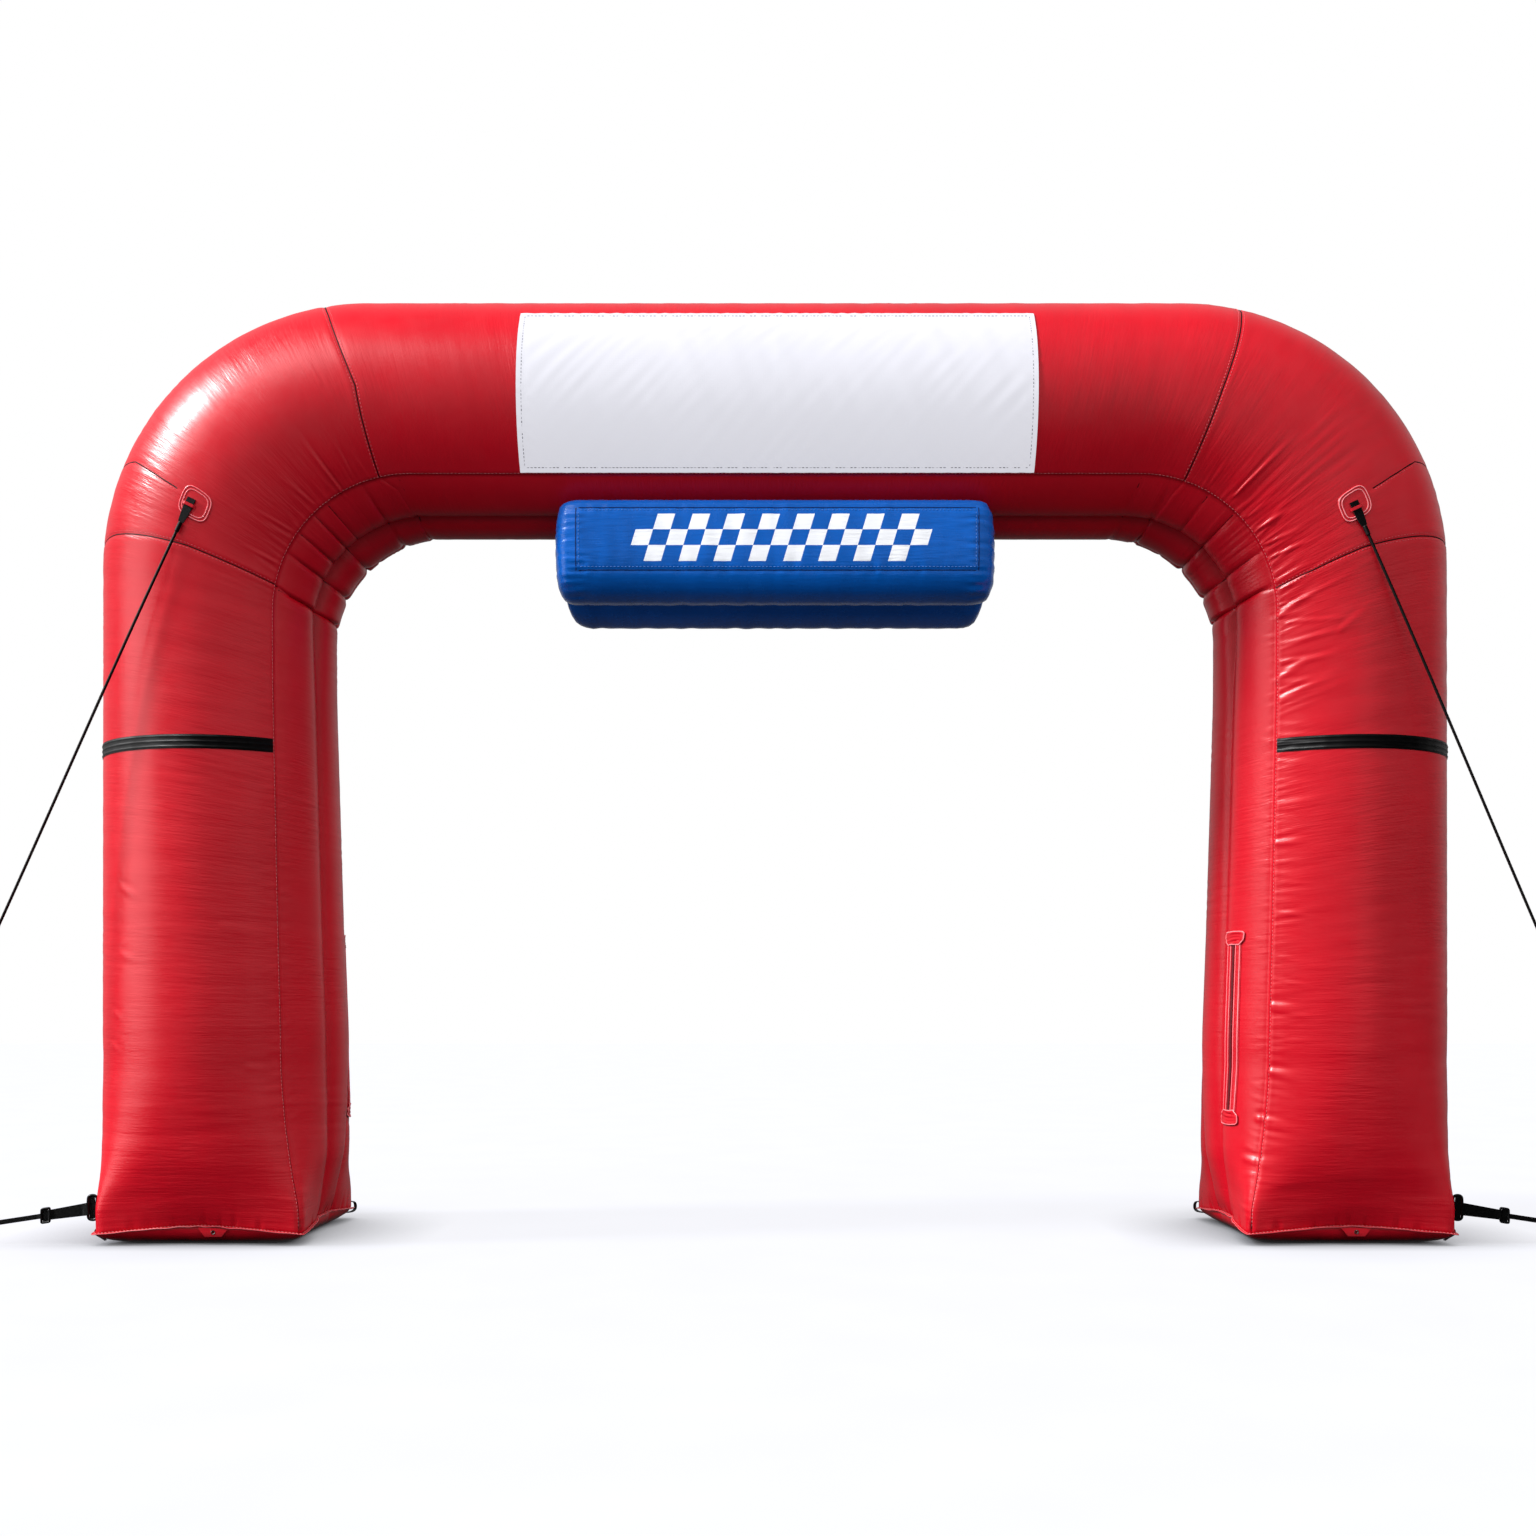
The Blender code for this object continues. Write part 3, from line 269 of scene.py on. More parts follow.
# Depths of the small waves on the lobes, further on the panels, and of the fine ones; and depth and width of grooves.
LOBE_WAVES, PANEL_WAVES, FINE_WAVES = 0.00020, 0.00030, 0.0005
GROOVE, SHOULDER_GROOVE, GORE_GROOVE = (0.0035, 0.008), (0.0030, 0.009), (0.0022, 0.007)
SEAM_HOOP = SEAM_ANGLE * HOOP
# Puckers along the inner seams: side, face, way, from run, to run, spacing, length, depth.
PUCKER_ZONES = (
    (1, 1, 1, 2.30, 3.10, 0.040, 0.300, 0.0034),
    (1, 1, 1, 0.25, 2.30, 0.040, 0.170, 0.0024),
    (1, 1, 1, 3.10, 3.45, 0.060, 0.200, 0.0026),
    (1, 1, 1, 3.45, 4.20, 0.070, 0.150, 0.0012),
    (1, 1, -1, 0.12, 0.75, 0.036, 0.070, 0.0030),
    (1, 1, -1, 0.75, 2.90, 0.050, 0.080, 0.0016),
    (-1, 1, 1, 0.20, 2.30, 0.055, 0.090, 0.0014),
    (-1, 1, 1, 2.30, 4.20, 0.060, 0.160, 0.0014),
    (-1, 1, -1, 0.12, 2.90, 0.060, 0.060, 0.0014),
    (1, -1, 1, 0.25, 4.20, 0.055, 0.150, 0.0024),
    (-1, -1, 1, 0.25, 4.20, 0.055, 0.150, 0.0024),
    (1, -1, -1, 0.20, 2.90, 0.060, 0.070, 0.0014),
    (-1, -1, -1, 0.20, 2.90, 0.060, 0.070, 0.0014),
)
# Single long wrinkles: side, height, |X| at one end, height, |X| at the other end, width, depth.
LONG_WRINKLES = (
    (-1, 1.560, 2.905, 1.500, 2.760, 0.016, 0.0042), (-1, 1.275, 2.905, 1.245, 2.790, 0.014, 0.0034),
    (-1, 1.030, 2.950, 0.990, 2.870, 0.013, 0.0036), (-1, 0.890, 2.960, 0.855, 2.890, 0.013, 0.0036),
    (-1, 1.420, 2.440, 1.400, 2.200, 0.018, 0.0022), (-1, 0.790, 2.330, 0.770, 2.180, 0.016, 0.0024),
    (1, 2.880, 2.215, 2.965, 2.420, 0.020, 0.0060), (1, 2.590, 2.215, 2.640, 2.370, 0.018, 0.0060),
    (1, 2.490, 2.230, 2.550, 2.500, 0.018, 0.0048), (1, 2.730, 2.460, 2.800, 2.610, 0.018, 0.0030),
    (1, 2.010, 2.220, 1.985, 2.420, 0.016, 0.0036), (1, 1.830, 2.200, 1.815, 2.370, 0.016, 0.0036),
    (1, 1.070, 2.190, 1.035, 2.340, 0.017, 0.0060), (1, 0.770, 2.180, 0.730, 2.330, 0.017, 0.0060),
    (1, 0.560, 2.170, 0.525, 2.300, 0.017, 0.0060), (1, 0.380, 2.160, 0.350, 2.290, 0.016, 0.0058),
)
# Radial creases of the shoulders: side, bend angle, section angle at one end, bend angle, section angle at the other
# end, width and depth.
BEND_CREASES = (
    (-1, 59.7, 44.0, 59.0, 84.0, 0.010, 0.0065), (-1, 48.0, 50.0, 45.5, 72.0, 0.010, 0.0030),
    (-1, 66.5, 50.0, 68.5, 78.0, 0.011, 0.0026), (-1, 34.0, 50.0, 31.0, 74.0, 0.010, 0.0028),
    (-1, 20.0, 50.0, 19.0, 70.0, 0.010, 0.0030), (-1, 73.0, 92.0, 72.0, 112.0, 0.010, 0.0018),
    (1, 50.7, 52.0, 48.8, 90.0, 0.010, 0.0070), (1, 35.0, 50.0, 32.0, 72.0, 0.011, 0.0044),
    (1, 28.0, 50.0, 25.0, 70.0, 0.010, 0.0042), (1, 22.5, 50.0, 19.5, 73.0, 0.010, 0.0046),
    (1, 41.0, 50.0, 40.0, 66.0, 0.010, 0.0030), (1, 61.0, 50.0, 61.0, 66.0, 0.010, 0.0024),
)
# Stitched seams across the shoulders: bend angle at section angles from the inner seam outwards.
SEAM_PLACES = (0.0, 40.0, 47.5, 90.0, 135.0, 180.0)
LEG_SEAMS = {-1: (10.5, 10.5, 12.0, 11.0, 7.5, 3.0), 1: (12.5, 12.5, 10.5, 10.5, 7.0, 3.5)}
BEAM_SEAMS = {-1: (83.5, 81.0, 76.1, 81.8, 81.0, 79.4), 1: (74.5, 72.0, 70.5, 74.0, 76.5, 78.0)}
SHORT_SEAM = (24.0, 24.0, 24.0, 23.6, 24.5, 19.5)


def bend_run(bend_angle):
    return LEG_RUN + bend_angle / 90 * BEND_LENGTH


def seam_run(places, angle):
    return bend_run(np.interp(np.abs(angle), SEAM_PLACES, places))


def wrinkle_angle(height, x):
    """Section angle of a leg's skin at a height and |X|."""
    centre, half = between(LEG_MARKS, height), between(LEG_MARKS, height, 2)
    return math.degrees(math.acos(max(-1.0, min(1.0, (centre - x) / half))))


def seeded_folds(side):
    """The puckers along one half's seams, drawn from the zones, with the long wrinkles and the base's tucks."""
    chance = np.random.default_rng(11 + side)
    folds = []
    for zone_side, face, way, low, high, spacing, length, depth in PUCKER_ZONES:
        if zone_side != side:
            continue
        run = low
        while run < high:
            size = chance.uniform(0.55, 1.25)
            reach = length * size * chance.uniform(0.7, 1.3)
            tilt = face * way * chance.uniform(-0.30, 0.16) if run < LEG_RUN else chance.uniform(-0.3, 0.3)
            folds.append(Fold(
                run, face * SEAM_HOOP, face * way * reach, spacing * chance.uniform(0.17, 0.27),
                depth * size, tilt,
            ))
            run += spacing * chance.uniform(0.6, 1.4)
    for fold_side, low_z, low_x, high_z, high_x, width, depth in LONG_WRINKLES:
        if fold_side == side:
            hoop = wrinkle_angle(low_z, low_x) * HOOP
            length = wrinkle_angle(high_z, high_x) * HOOP - hoop
            tilt = (high_z - low_z) / length * math.copysign(1, length)
            folds.append(Fold(low_z, hoop, length, width, depth, tilt))
    for fold_side, low_bend, low_angle, high_bend, high_angle, width, depth in BEND_CREASES:
        if fold_side == side:
            length = (high_angle - low_angle) * HOOP
            tilt = (bend_run(high_bend) - bend_run(low_bend)) / length
            folds.append(Fold(bend_run(low_bend), low_angle * HOOP, length, width, depth, tilt))
    for row in range(BASE_TUCKS):
        angle = -180 + 360 * (row + chance.uniform(0.2, 0.8)) / BASE_TUCKS
        width = 0.010 + 0.006 * chance.random()
        folds.append(Fold(BASE_TUCK_FROM, angle * HOOP, 0.0, width, BASE_TUCK_DEPTH, chance.uniform(0.05, 0.11)))
    return folds


FOLDS = {side: seeded_folds(side) for side in SIDES}


# Waves of each cloth: seed, how many, shortest and longest length, and stretch along the first direction.
WAVES = {
    "tube_broad": (5, 14, 0.060, 0.20, 3.2), "tube_patches": (25, 8, 0.5, 1.1, 1.0),
    "tube_fine": (45, 12, 0.026, 0.055, 4.5), "zip_end": (61, 9, 0.012, 0.03, 1.0),
    "pillow_swell": (91, 14, 0.06, 0.20, 2.5), "pillow_ends": (93, 12, 0.030, 0.060, 3.4),
    "pillow_pulls": (97, 10, 0.045, 0.085, 4.0), "pillow_gathers": (99, 9, 0.024, 0.042, 3.5),
    "banner_steep": (131, 12, 0.10, 0.24, 3.0), "banner_small": (133, 14, 0.060, 0.14, 3.0),
    "banner_patches": (135, 7, 0.45, 1.2, 1.0), "banner_hem": (137, 10, 0.035, 0.07, 3.0),
    "band": (151, 10, 0.05, 0.14, 2.0),
}


def waves(across, along, cloth, side=0):
    """Soft random waves of a cloth; each half of the arch has its own."""
    seed, count, shortest, longest, stretch = WAVES[cloth]
    chance = np.random.default_rng(seed + side)
    total = np.zeros_like(across + along)
    for _ in range(count):
        length = chance.uniform(shortest, longest)
        turn = chance.uniform(-0.5, 0.5)
        phase = chance.uniform(0, 2 * math.pi)
        total += np.sin(2 * math.pi / length * (along * math.cos(turn) + across * math.sin(turn) / stretch) + phase)
    return total / math.sqrt(count)


def seam_groove(distance, depth, width):
    """A sewn seam draws the skin in and lifts it softly beside the stitches."""
    return -depth * ridge(distance, 0.0, width) + 0.25 * depth * ridge(np.abs(distance), 2.6 * width, 1.4 * width)


def add_base_tuck(found, fold, run, hoop):
    """Draws in an upright tuck above the base seam."""
    across = hoop - fold.hoop
    near = (np.abs(across) < 4 * fold.width) & (run < fold.run + 2 * fold.tilt)
    climb = np.clip(1 - (run[near] - fold.run) / fold.tilt, 0, 1)
    shape = (1 - 1.2 * (across[near] / fold.width) ** 2) * ridge(across[near], 0.0, fold.width)
    found[near] -= fold.depth * shape * climb ** 1.5


def add_fold(found, fold, run, hoop):
    """Raises a pucker or a wrinkle, with a furrow along its upper side."""
    along = (hoop - fold.hoop) / fold.length
    drop = run - fold.run - fold.tilt * np.abs(hoop - fold.hoop)
    near = (along > -0.02) & (along < 1.0) & (np.abs(drop) < 4 * fold.width)
    share, away = along[near], drop[near] / (fold.width * (0.75 + 0.6 * along[near]))
    rise = smooth_share(-0.02, 0.10, share) * (1 - smooth_share(0.25, 1.0, share))
    found[near] += fold.depth * rise * (ridge(away, 0.0, 1.0) - 0.55 * ridge(away, 1.7, 0.9))


def relief(side, run, angle):
    """How far the real skin stands out from the smooth surface, for arrays of runs and angles."""
    run, angle = np.broadcast_arrays(run, angle)
    hoop = angle * HOOP
    size = np.abs(angle)
    panel = smooth_share(SEAM_ANGLE, SEAM_ANGLE + 10, size)
    calm = smooth_share(0.06, 0.16, run) * looks().wrinkle_share
    found = (PANEL_WAVES * panel + LOBE_WAVES) * waves(hoop, run, "tube_broad", side) * calm
    patches = smooth_share(0.2, 1.3, waves(hoop, run, "tube_patches", side))
    found = found + FINE_WAVES * patches * waves(hoop, run, "tube_fine", side) * calm
    for fold in FOLDS[side]:
        (add_fold if fold.length else add_base_tuck)(found, fold, run, hoop)
    for seam in (SEAM_HOOP, -SEAM_HOOP):
        found = found + seam_groove(hoop - seam, *GROOVE) * smooth_share(0.055, 0.075, run)
    for places in (LEG_SEAMS[side], BEAM_SEAMS[side]):
        found = found + seam_groove(run - seam_run(places, angle), *SHOULDER_GROOVE)
    short = smooth_share(97, 103, size) + (angle < 0) * smooth_share(SEAM_ANGLE, SEAM_ANGLE + 3, size)
    found = found + seam_groove(run - seam_run(SHORT_SEAM, angle), *GORE_GROOVE) * np.minimum(short, 1)
    return found


# Meshes.


def ring_normals(points):
    """Unit normals of a grid of points whose rows are closed rings."""
    across = np.roll(points, -1, axis=1) - np.roll(points, 1, axis=1)
    return unit(np.cross(np.gradient(points, axis=0), across))


def tube_skin(side, run, angle, lift=0.0, wrinkled=1.0):
    """Points on the wrinkled skin at a grid of runs and angles, lifted off it, and the outward normals."""
    run, angle = np.broadcast_arrays(run, angle)

    def smooth(run_step, angle_step):
        return section(stations(run + run_step, side), side, angle + angle_step)

    points = smooth(0.0, 0.0)
    upwards, round_hoop = smooth(1e-3, 0.0) - smooth(-1e-3, 0.0), smooth(0.0, 0.05) - smooth(0.0, -0.05)
    normals = unit(np.cross(upwards, round_hoop) * -side)
    height = lift + relief(side, run, angle) * wrinkled
    return points + normals * height[..., None], normals


def mesh_object(name, points, faces, finish, *replaced, uv=None, sharp=None):
    """A piece from points and faces, turned outwards, with its finish and the nodes it stands for."""
    mesh = bpy.data.meshes.new(name)
    points = np.asarray(points, float).reshape(-1, 3)
    if isinstance(faces, np.ndarray):
        fill_mesh(mesh, points, faces)
    else:
        mesh.from_pydata([tuple(p) for p in points], [], faces)
    if uv is not None:
        layer = mesh.uv_layers.new(name="cloth")
        corner = np.empty(len(mesh.loops), np.int32)
        mesh.loops.foreach_get("vertex_index", corner)
        layer.data.foreach_set("uv", np.asarray(uv, np.float32).reshape(-1, 2)[corner].ravel())
    shape = bmesh.new()
    shape.from_mesh(mesh)
    if shape.calc_volume(signed=True) < 0:
        bmesh.ops.reverse_faces(shape, faces=shape.faces)
    shape.to_mesh(mesh)
    shape.free()
    mesh.shade_smooth()
    if sharp:
        mesh.set_sharp_from_angle(angle=math.radians(sharp))
    mesh.materials.append(finish_of(finish))
    made = bpy.data.objects.new(name, mesh)
    bpy.context.scene.collection.objects.link(made)
    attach(made, "root")
    return dress(made, finish, *replaced)


def fill_mesh(mesh, points, faces):
    """Fills a mesh from an array of points and an array of quads."""
    mesh.vertices.add(len(points))
    mesh.vertices.foreach_set("co", points.astype(np.float32).ravel())
    mesh.loops.add(faces.size)
    mesh.loops.foreach_set("vertex_index", faces.astype(np.int32).ravel())
    mesh.polygons.add(len(faces))
    mesh.polygons.foreach_set("loop_start", np.arange(0, faces.size, 4, dtype=np.int32))
    mesh.update(calc_edges=True)


def grid_faces(rows, columns, closed=False, start=0):
    """Quads of a grid whose points are listed row by row."""
    row = np.arange(rows - 1)[:, None] * columns
    column = np.arange(columns if closed else columns - 1)[None, :]
    after = (column + 1) % columns
    quads = np.stack([row + column, row + after, row + columns + after, row + columns + column], axis=-1)
    return quads.reshape(-1, 4) + start


def slab(name, inside, outside, uv, finish, *replaced):
    """A thin piece between two grids of points."""
    rows, columns = outside.shape[:2]
    count = rows * columns
    top = grid_faces(rows, columns)
    bottom = grid_faces(rows, columns, start=count)[:, ::-1]
    rim = [*range(columns), *range(2 * columns - 1, count, columns)]
    rim += [*range(count - 2, count - columns - 1, -1), *range(count - 2 * columns, 0, -columns)]
    rim, after = np.array(rim), np.roll(rim, -1)
    wall = np.stack([rim, rim + count, after + count, after], axis=-1)
    points = np.concatenate([outside.reshape(-1, 3), inside.reshape(-1, 3)])
    uv = np.concatenate([uv.reshape(-1, 2)] * 2)
    return mesh_object(name, points, np.concatenate([top, bottom, wall]), finish, *replaced, uv=uv, sharp=40)


def distances(line):
    """How far along a line each of its points lies."""
    return np.concatenate([[0], np.cumsum(np.linalg.norm(np.diff(line, axis=0), axis=1))])


def headings(line, closed=False):
    """The way a line runs at each of its points."""
    return np.roll(line, -1, axis=0) - np.roll(line, 1, axis=0) if closed else np.gradient(line, axis=0)


def resample(points, step, closed=False):
    """Evenly spaced points on a smooth curve through the given ones."""
    points = np.asarray(points, float)
    count = len(points)
    if closed:
        padded = np.concatenate([points[-1:], points, points[:2]])
        spans = count
    else:
        padded = np.concatenate([2 * points[:1] - points[1:2], points, 2 * points[-1:] - points[-2:-1]])
        spans = count - 1
    fine = []
    for span in range(spans):
        a, b, c, d = padded[span:span + 4]
        t = np.linspace(0, 1, 24, endpoint=False)[:, None]
        square, cube = (2 * a - 5 * b + 4 * c - d) * t ** 2, (3 * b - a - 3 * c + d) * t ** 3
        fine.append(0.5 * (2 * b + (c - a) * t + square + cube))
    fine.append(padded[1 + spans][None])
    fine = np.concatenate(fine)
    lengths = distances(fine)
    steps = max(2, int(round(lengths[-1] / step)))
    wanted = np.linspace(0, lengths[-1], steps + 1)
    even = np.stack([np.interp(wanted, lengths, fine[:, axis]) for axis in range(fine.shape[1])], axis=1)
    return even[:-1] if closed else even


def sweep(name, path, profile, across, finish, *replaced, closed=False, sharp=40):
    """A profile of (out, sideways) points carried along a path. Across is the sideways direction."""
    path = np.asarray(path, float)
    tangent = unit(headings(path, closed))
    out = unit(np.cross(tangent, np.broadcast_to(np.asarray(across, float), path.shape)))
    side = np.cross(out, tangent)
    profile = np.asarray(profile, float)
    if profile.ndim == 2:
        profile = np.broadcast_to(profile, (len(path), *profile.shape))
    points = path[:, None] + out[:, None] * profile[..., :1] + side[:, None] * profile[..., 1:]
    rows, columns = points.shape[:2]
    uv = np.stack(np.broadcast_arrays(profile[..., 1], distances(path)[:, None]), axis=-1)
    if closed:
        faces = grid_faces(rows + 1, columns, True) % (rows * columns)
    else:
        faces = grid_faces(rows, columns, True).tolist()
        faces += [list(range(columns)), list(range((rows - 1) * columns, rows * columns))[::-1]]
    return mesh_object(name, points, faces, finish, *replaced, uv=uv, sharp=sharp)


def strip_profile(thickness, width, steps):
    """Webbing in section: flat faces with many points across, and rounded edges."""
    half, edge = thickness / 2, width / 2
    across = np.linspace(-edge + half * 0.6, edge - half * 0.6, steps)
    upper = [(half, s) for s in across]
    lower = [(-half, s) for s in across[::-1]]
    return np.array([*upper, (0.0, edge), *lower, (0.0, -edge)])


def circle(sides):
    turn = np.arange(sides) * 2 * math.pi / sides
    return np.stack([np.cos(turn), np.sin(turn)], axis=-1)


# A stitch, as rings of a share of its length and of its full size, and the ring's points: across and up.
STITCH_RINGS = ((0.0, 0.35), (0.18, 1.0), (0.82, 1.0), (1.0, 0.35))
STITCH_POINTS = ((-1.0, -0.5), (0.0, 1.1), (1.0, -0.5))
LOW_STITCH_HEIGHT = 0.0012


def stitches(name, line, normals, finish, pitch, length, width, height=LOW_STITCH_HEIGHT):
    """A row of thread stitches lying on a line, each a rounded bar of a few faces."""
    lengths = distances(line)
    points, faces = [], []

    def at(values, place):
        return np.array([np.interp(place, lengths, values[:, axis]) for axis in range(3)])

    for start in np.arange(pitch / 2, lengths[-1] - length, pitch):
        low, along = at(line, start), at(line, start + length) - at(line, start)
        normal = at(normals, start + length / 2)
        normal /= np.linalg.norm(normal)
        side_way = np.cross(along / np.linalg.norm(along), normal)
        first = len(points)
        for share, size in STITCH_RINGS:
            centre = low + along * share
            for across, up in STITCH_POINTS:
                points.append(centre + side_way * (width / 2 * across * size) + normal * (height * up * size))
        for ring in range(3):
            for step in range(3):
                here, after = first + ring * 3 + step, first + ring * 3 + (step + 1) % 3
                faces.append((here, after, after + 3, here + 3))
        faces += [(first + 2, first + 1, first), (first + 9, first + 10, first + 11)]
    return mesh_object(name, points, faces, finish)


# Materials.


def linear(hex_colour):
    """Linear colour of an sRGB hex value."""
    parts = [int(hex_colour[place:place + 2], 16) / 255 for place in (1, 3, 5)]
    return (*[p / 12.92 if p <= 0.04045 else ((p + 0.055) / 1.055) ** 2.4 for p in parts], 1.0)


def add(tree, kind, links=None, **settings):
    """Adds a node: settings name its properties, links its inputs' values or the sockets they read."""
    made = tree.nodes.new(kind)
    for name, value in settings.items():
        setattr(made, name, value)
    for name, value in (links or {}).items():
        if isinstance(value, bpy.types.NodeSocket):
            tree.links.new(value, made.inputs[name])
        else:
            made.inputs[name].default_value = value
    return made


def ramp(tree, factor, stops):
    """A colour ramp through (place, hex colour) stops."""
    made = add(tree, "ShaderNodeValToRGB", {"Fac": factor})
    elements = made.color_ramp.elements
    while len(elements) < len(stops):
        elements.new(0.5)
    for element, (place, colour) in zip(elements, stops):
        element.position, element.color = place, linear(colour) if isinstance(colour, str) else colour
    return made.outputs["Color"]


def shades(colour, spread=0.09):
    """A darker and a lighter shade of a colour, with the colour between them."""
    return [(*(part * share for part in colour), 1.0) for share in (1 - spread, 1.0, 1 + spread)]


def blank(name, **sockets):
    """A material with one Principled shader, and the values that are the same all over it."""
    material = bpy.data.materials.new(name)
    material.use_nodes = True
    tree = material.node_tree
    shader = tree.nodes["Principled BSDF"]
    for socket, value in sockets.items():
        shader.inputs[socket.replace("_", " ")].default_value = value
    return material, tree, shader


def maths(tree, operation, first, second=0.0):
    return add(tree, "ShaderNodeMath", {0: first, 1: second}, operation=operation).outputs[0]


def uv_place(tree, scale=(1.0, 1.0, 1.0)):
    place = add(tree, "ShaderNodeUVMap", uv_map="cloth").outputs["UV"]
    return add(tree, "ShaderNodeMapping", {"Vector": place, "Scale": scale}).outputs["Vector"]


def object_place(tree):
    return add(tree, "ShaderNodeTexCoord").outputs["Object"]


def noise(tree, place, scale, detail, roughness=0.5):
    return add(tree, "ShaderNodeTexNoise", {
        "Vector": place, "Scale": scale, "Detail": detail, "Roughness": roughness,
    }).outputs["Fac"]


def ranged(tree, value, low, high, to_low=0.0, to_high=1.0):
    """A value brought from one range to another."""
    return add(tree, "ShaderNodeMapRange", {
        "Value": value, "From Min": low, "From Max": high, "To Min": to_low, "To Max": to_high,
    }).outputs["Result"]


def ribs(tree, place, way, scale, distortion=0.0):
    """Even ribs or threads, across one way of the cloth."""
    return add(tree, "ShaderNodeTexWave", {
        "Vector": place, "Scale": scale, "Distortion": distortion,
    }, bands_direction=way).outputs["Fac"]


def weave(tree, scale):
    """Weft and warp of a plain weave."""
    threads = uv_place(tree)
    return maths(tree, "ADD", ribs(tree, threads, "X", scale), ribs(tree, threads, "Y", scale))


def bumped(tree, height, strength, distance, **under):
    """Way the surface faces where a height raises it, over another bump where one is given."""
    return add(tree, "ShaderNodeBump", {
        "Height": height, "Strength": strength, "Distance": distance, **under,
    }).outputs["Normal"]


def drive(tree, shader, **sockets):
    """Links the shader's inputs to what varies over the surface."""
    for name, socket in sockets.items():
        tree.links.new(socket, shader.inputs[name.replace("_", " ")])


def mixed(tree, share, low, high):
    """Colour between two others."""
    return add(tree, "ShaderNodeMix", {"Factor": share, "A": low, "B": high}, data_type="RGBA").outputs["Result"]


def coated_fabric(name, deep, plain, wear_and_shade, base_roughness, coat):
    """Polyester cloth coated with PVC by knife and calender: a glossy skin that the base cloth's threads and many
    small creases show through."""
    material, tree, shader = blank(name, IOR=1.5, Coat_Weight=coat, Coat_Roughness=0.12, Specular_IOR_Level=0.36)
    place = object_place(tree)
    colour = ramp(tree, noise(tree, place, 1.7, 4.0, 0.6), ((0.30, deep), (0.55, plain), (0.80, wear_and_shade)))
    scuff = noise(tree, place, 9.0, 5.0, 0.65)
    rough = ranged(tree, scuff, 0.3, 0.75, base_roughness - 0.03, base_roughness + 0.06)
    # Creases run round the hoop: up to 160 mm long and 16 mm apart, with finer ones among them.
    creases = noise(tree, uv_place(tree, (0.10, 1.0, 1.0)), 62.0, 3.0, 0.62)
    creases = maths(tree, "MULTIPLY", creases, ranged(tree, noise(tree, place, 1.9, 2.0), 0.38, 0.62, 0.22, 1.0))
    # The base cloth has 9 threads a centimetre; they are drawn 6 mm apart so that they show.
    low = bumped(tree, creases, 0.62, 0.0042)
    drive(tree, shader, Base_Color=colour, Roughness=rough, Normal=bumped(
        tree, weave(tree, 52.0), 0.05, 0.0008, Normal=low
    ))
    return material


def repainted(material, share, low=None, high=None):
    """Mixes another colour into a material's own: it is the low one where the share is 0, or the high one."""
    tree = material.node_tree
    socket = tree.nodes["Principled BSDF"].inputs["Base Color"]
    own = socket.links[0].from_socket
    tree.links.new(mixed(tree, share, low or own, high or own), socket)
    return material


def red_fabric(*finish):
    """The coated fabric of the arch, with painted shade that turns it a near-black red towards the floor."""
    material = coated_fabric(*finish)
    tree = material.node_tree
    # Painted shade: below the base heights the colour turns a near-black red, where the floor shades the base.
    height = add(tree, "ShaderNodeSeparateXYZ", {"Vector": object_place(tree)}).outputs["Z"]
    wear_and_shade = maths(tree, "ADD", height, maths(tree, "MULTIPLY", noise(tree, object_place(tree), 14.0, 3.0), 0.016))
    return repainted(material, ranged(tree, wear_and_shade, *BASE_SHADE_HEIGHTS), low=linear("#2E0004"))


def pillow_fabric():
    """Blue coated cloth, with a slanted chequer printed across the front panel."""
    material = coated_fabric("blue_pvc_coated_polyester", *shades(looks().pillow_colour, 0.18), 0.25, 0.0)
    tree = material.node_tree
    tree.nodes["Principled BSDF"].inputs["Specular IOR Level"].default_value = 0.28
    split = add(tree, "ShaderNodeSeparateXYZ", {"Vector": object_place(tree)}).outputs
    slanted = maths(tree, "SUBTRACT", split["X"], maths(tree, "MULTIPLY", split["Z"], PRINT_SLANT))
    left, right, bottom, top = PRINT_BOX

    def cell(value, start, size):
        return maths(tree, "FLOOR", maths(tree, "DIVIDE", maths(tree, "SUBTRACT", value, start), size))

    column = cell(slanted, left - PRINT_SLANT * bottom, (right - left) / PRINT_COLUMNS)
    row = cell(split["Z"], bottom, (top - bottom) / PRINT_ROWS)
    inside = maths(tree, "MODULO", maths(tree, "ADD", maths(tree, "ADD", column, row), 100.0), 2.0)
    limits = (
        (column, "GREATER_THAN", -0.5), (column, "LESS_THAN", PRINT_COLUMNS - 0.5), (row, "GREATER_THAN", -0.5),
        (row, "LESS_THAN", PRINT_ROWS - 0.5), (split["Y"], "LESS_THAN", -0.25),
    )
    for value, test, limit in limits:
        inside = maths(tree, "MULTIPLY", inside, maths(tree, test, value, limit))
    return repainted(material, inside, high=(*looks().print_colour, 1.0))


def banner_cloth():
    """Plain-woven white polyester: matt, with painted light, a glow that keeps it bright even where little light
    falls on it.
    """
    # The emission is painted light: the cloth glows so that its lower part, turned away from the lamps, stays bright.
    material, tree, shader = blank(
        "white_woven_polyester", Roughness=0.70, Specular_IOR_Level=0.25, Emission_Color=linear("#F4F4FC"),
        Emission_Strength=0.61,
    )
    colour = ramp(tree, noise(tree, object_place(tree), 3.0, 3.0), ((0.30, "#7E7E85"), (0.70, "#83838A")))
    # Threads lie 0.5 mm apart; they are drawn 8 mm apart so that they show.
    drive(tree, shader, Base_Color=colour, Normal=bumped(tree, weave(tree, 39.0), 0.10, 0.0008))
    return material


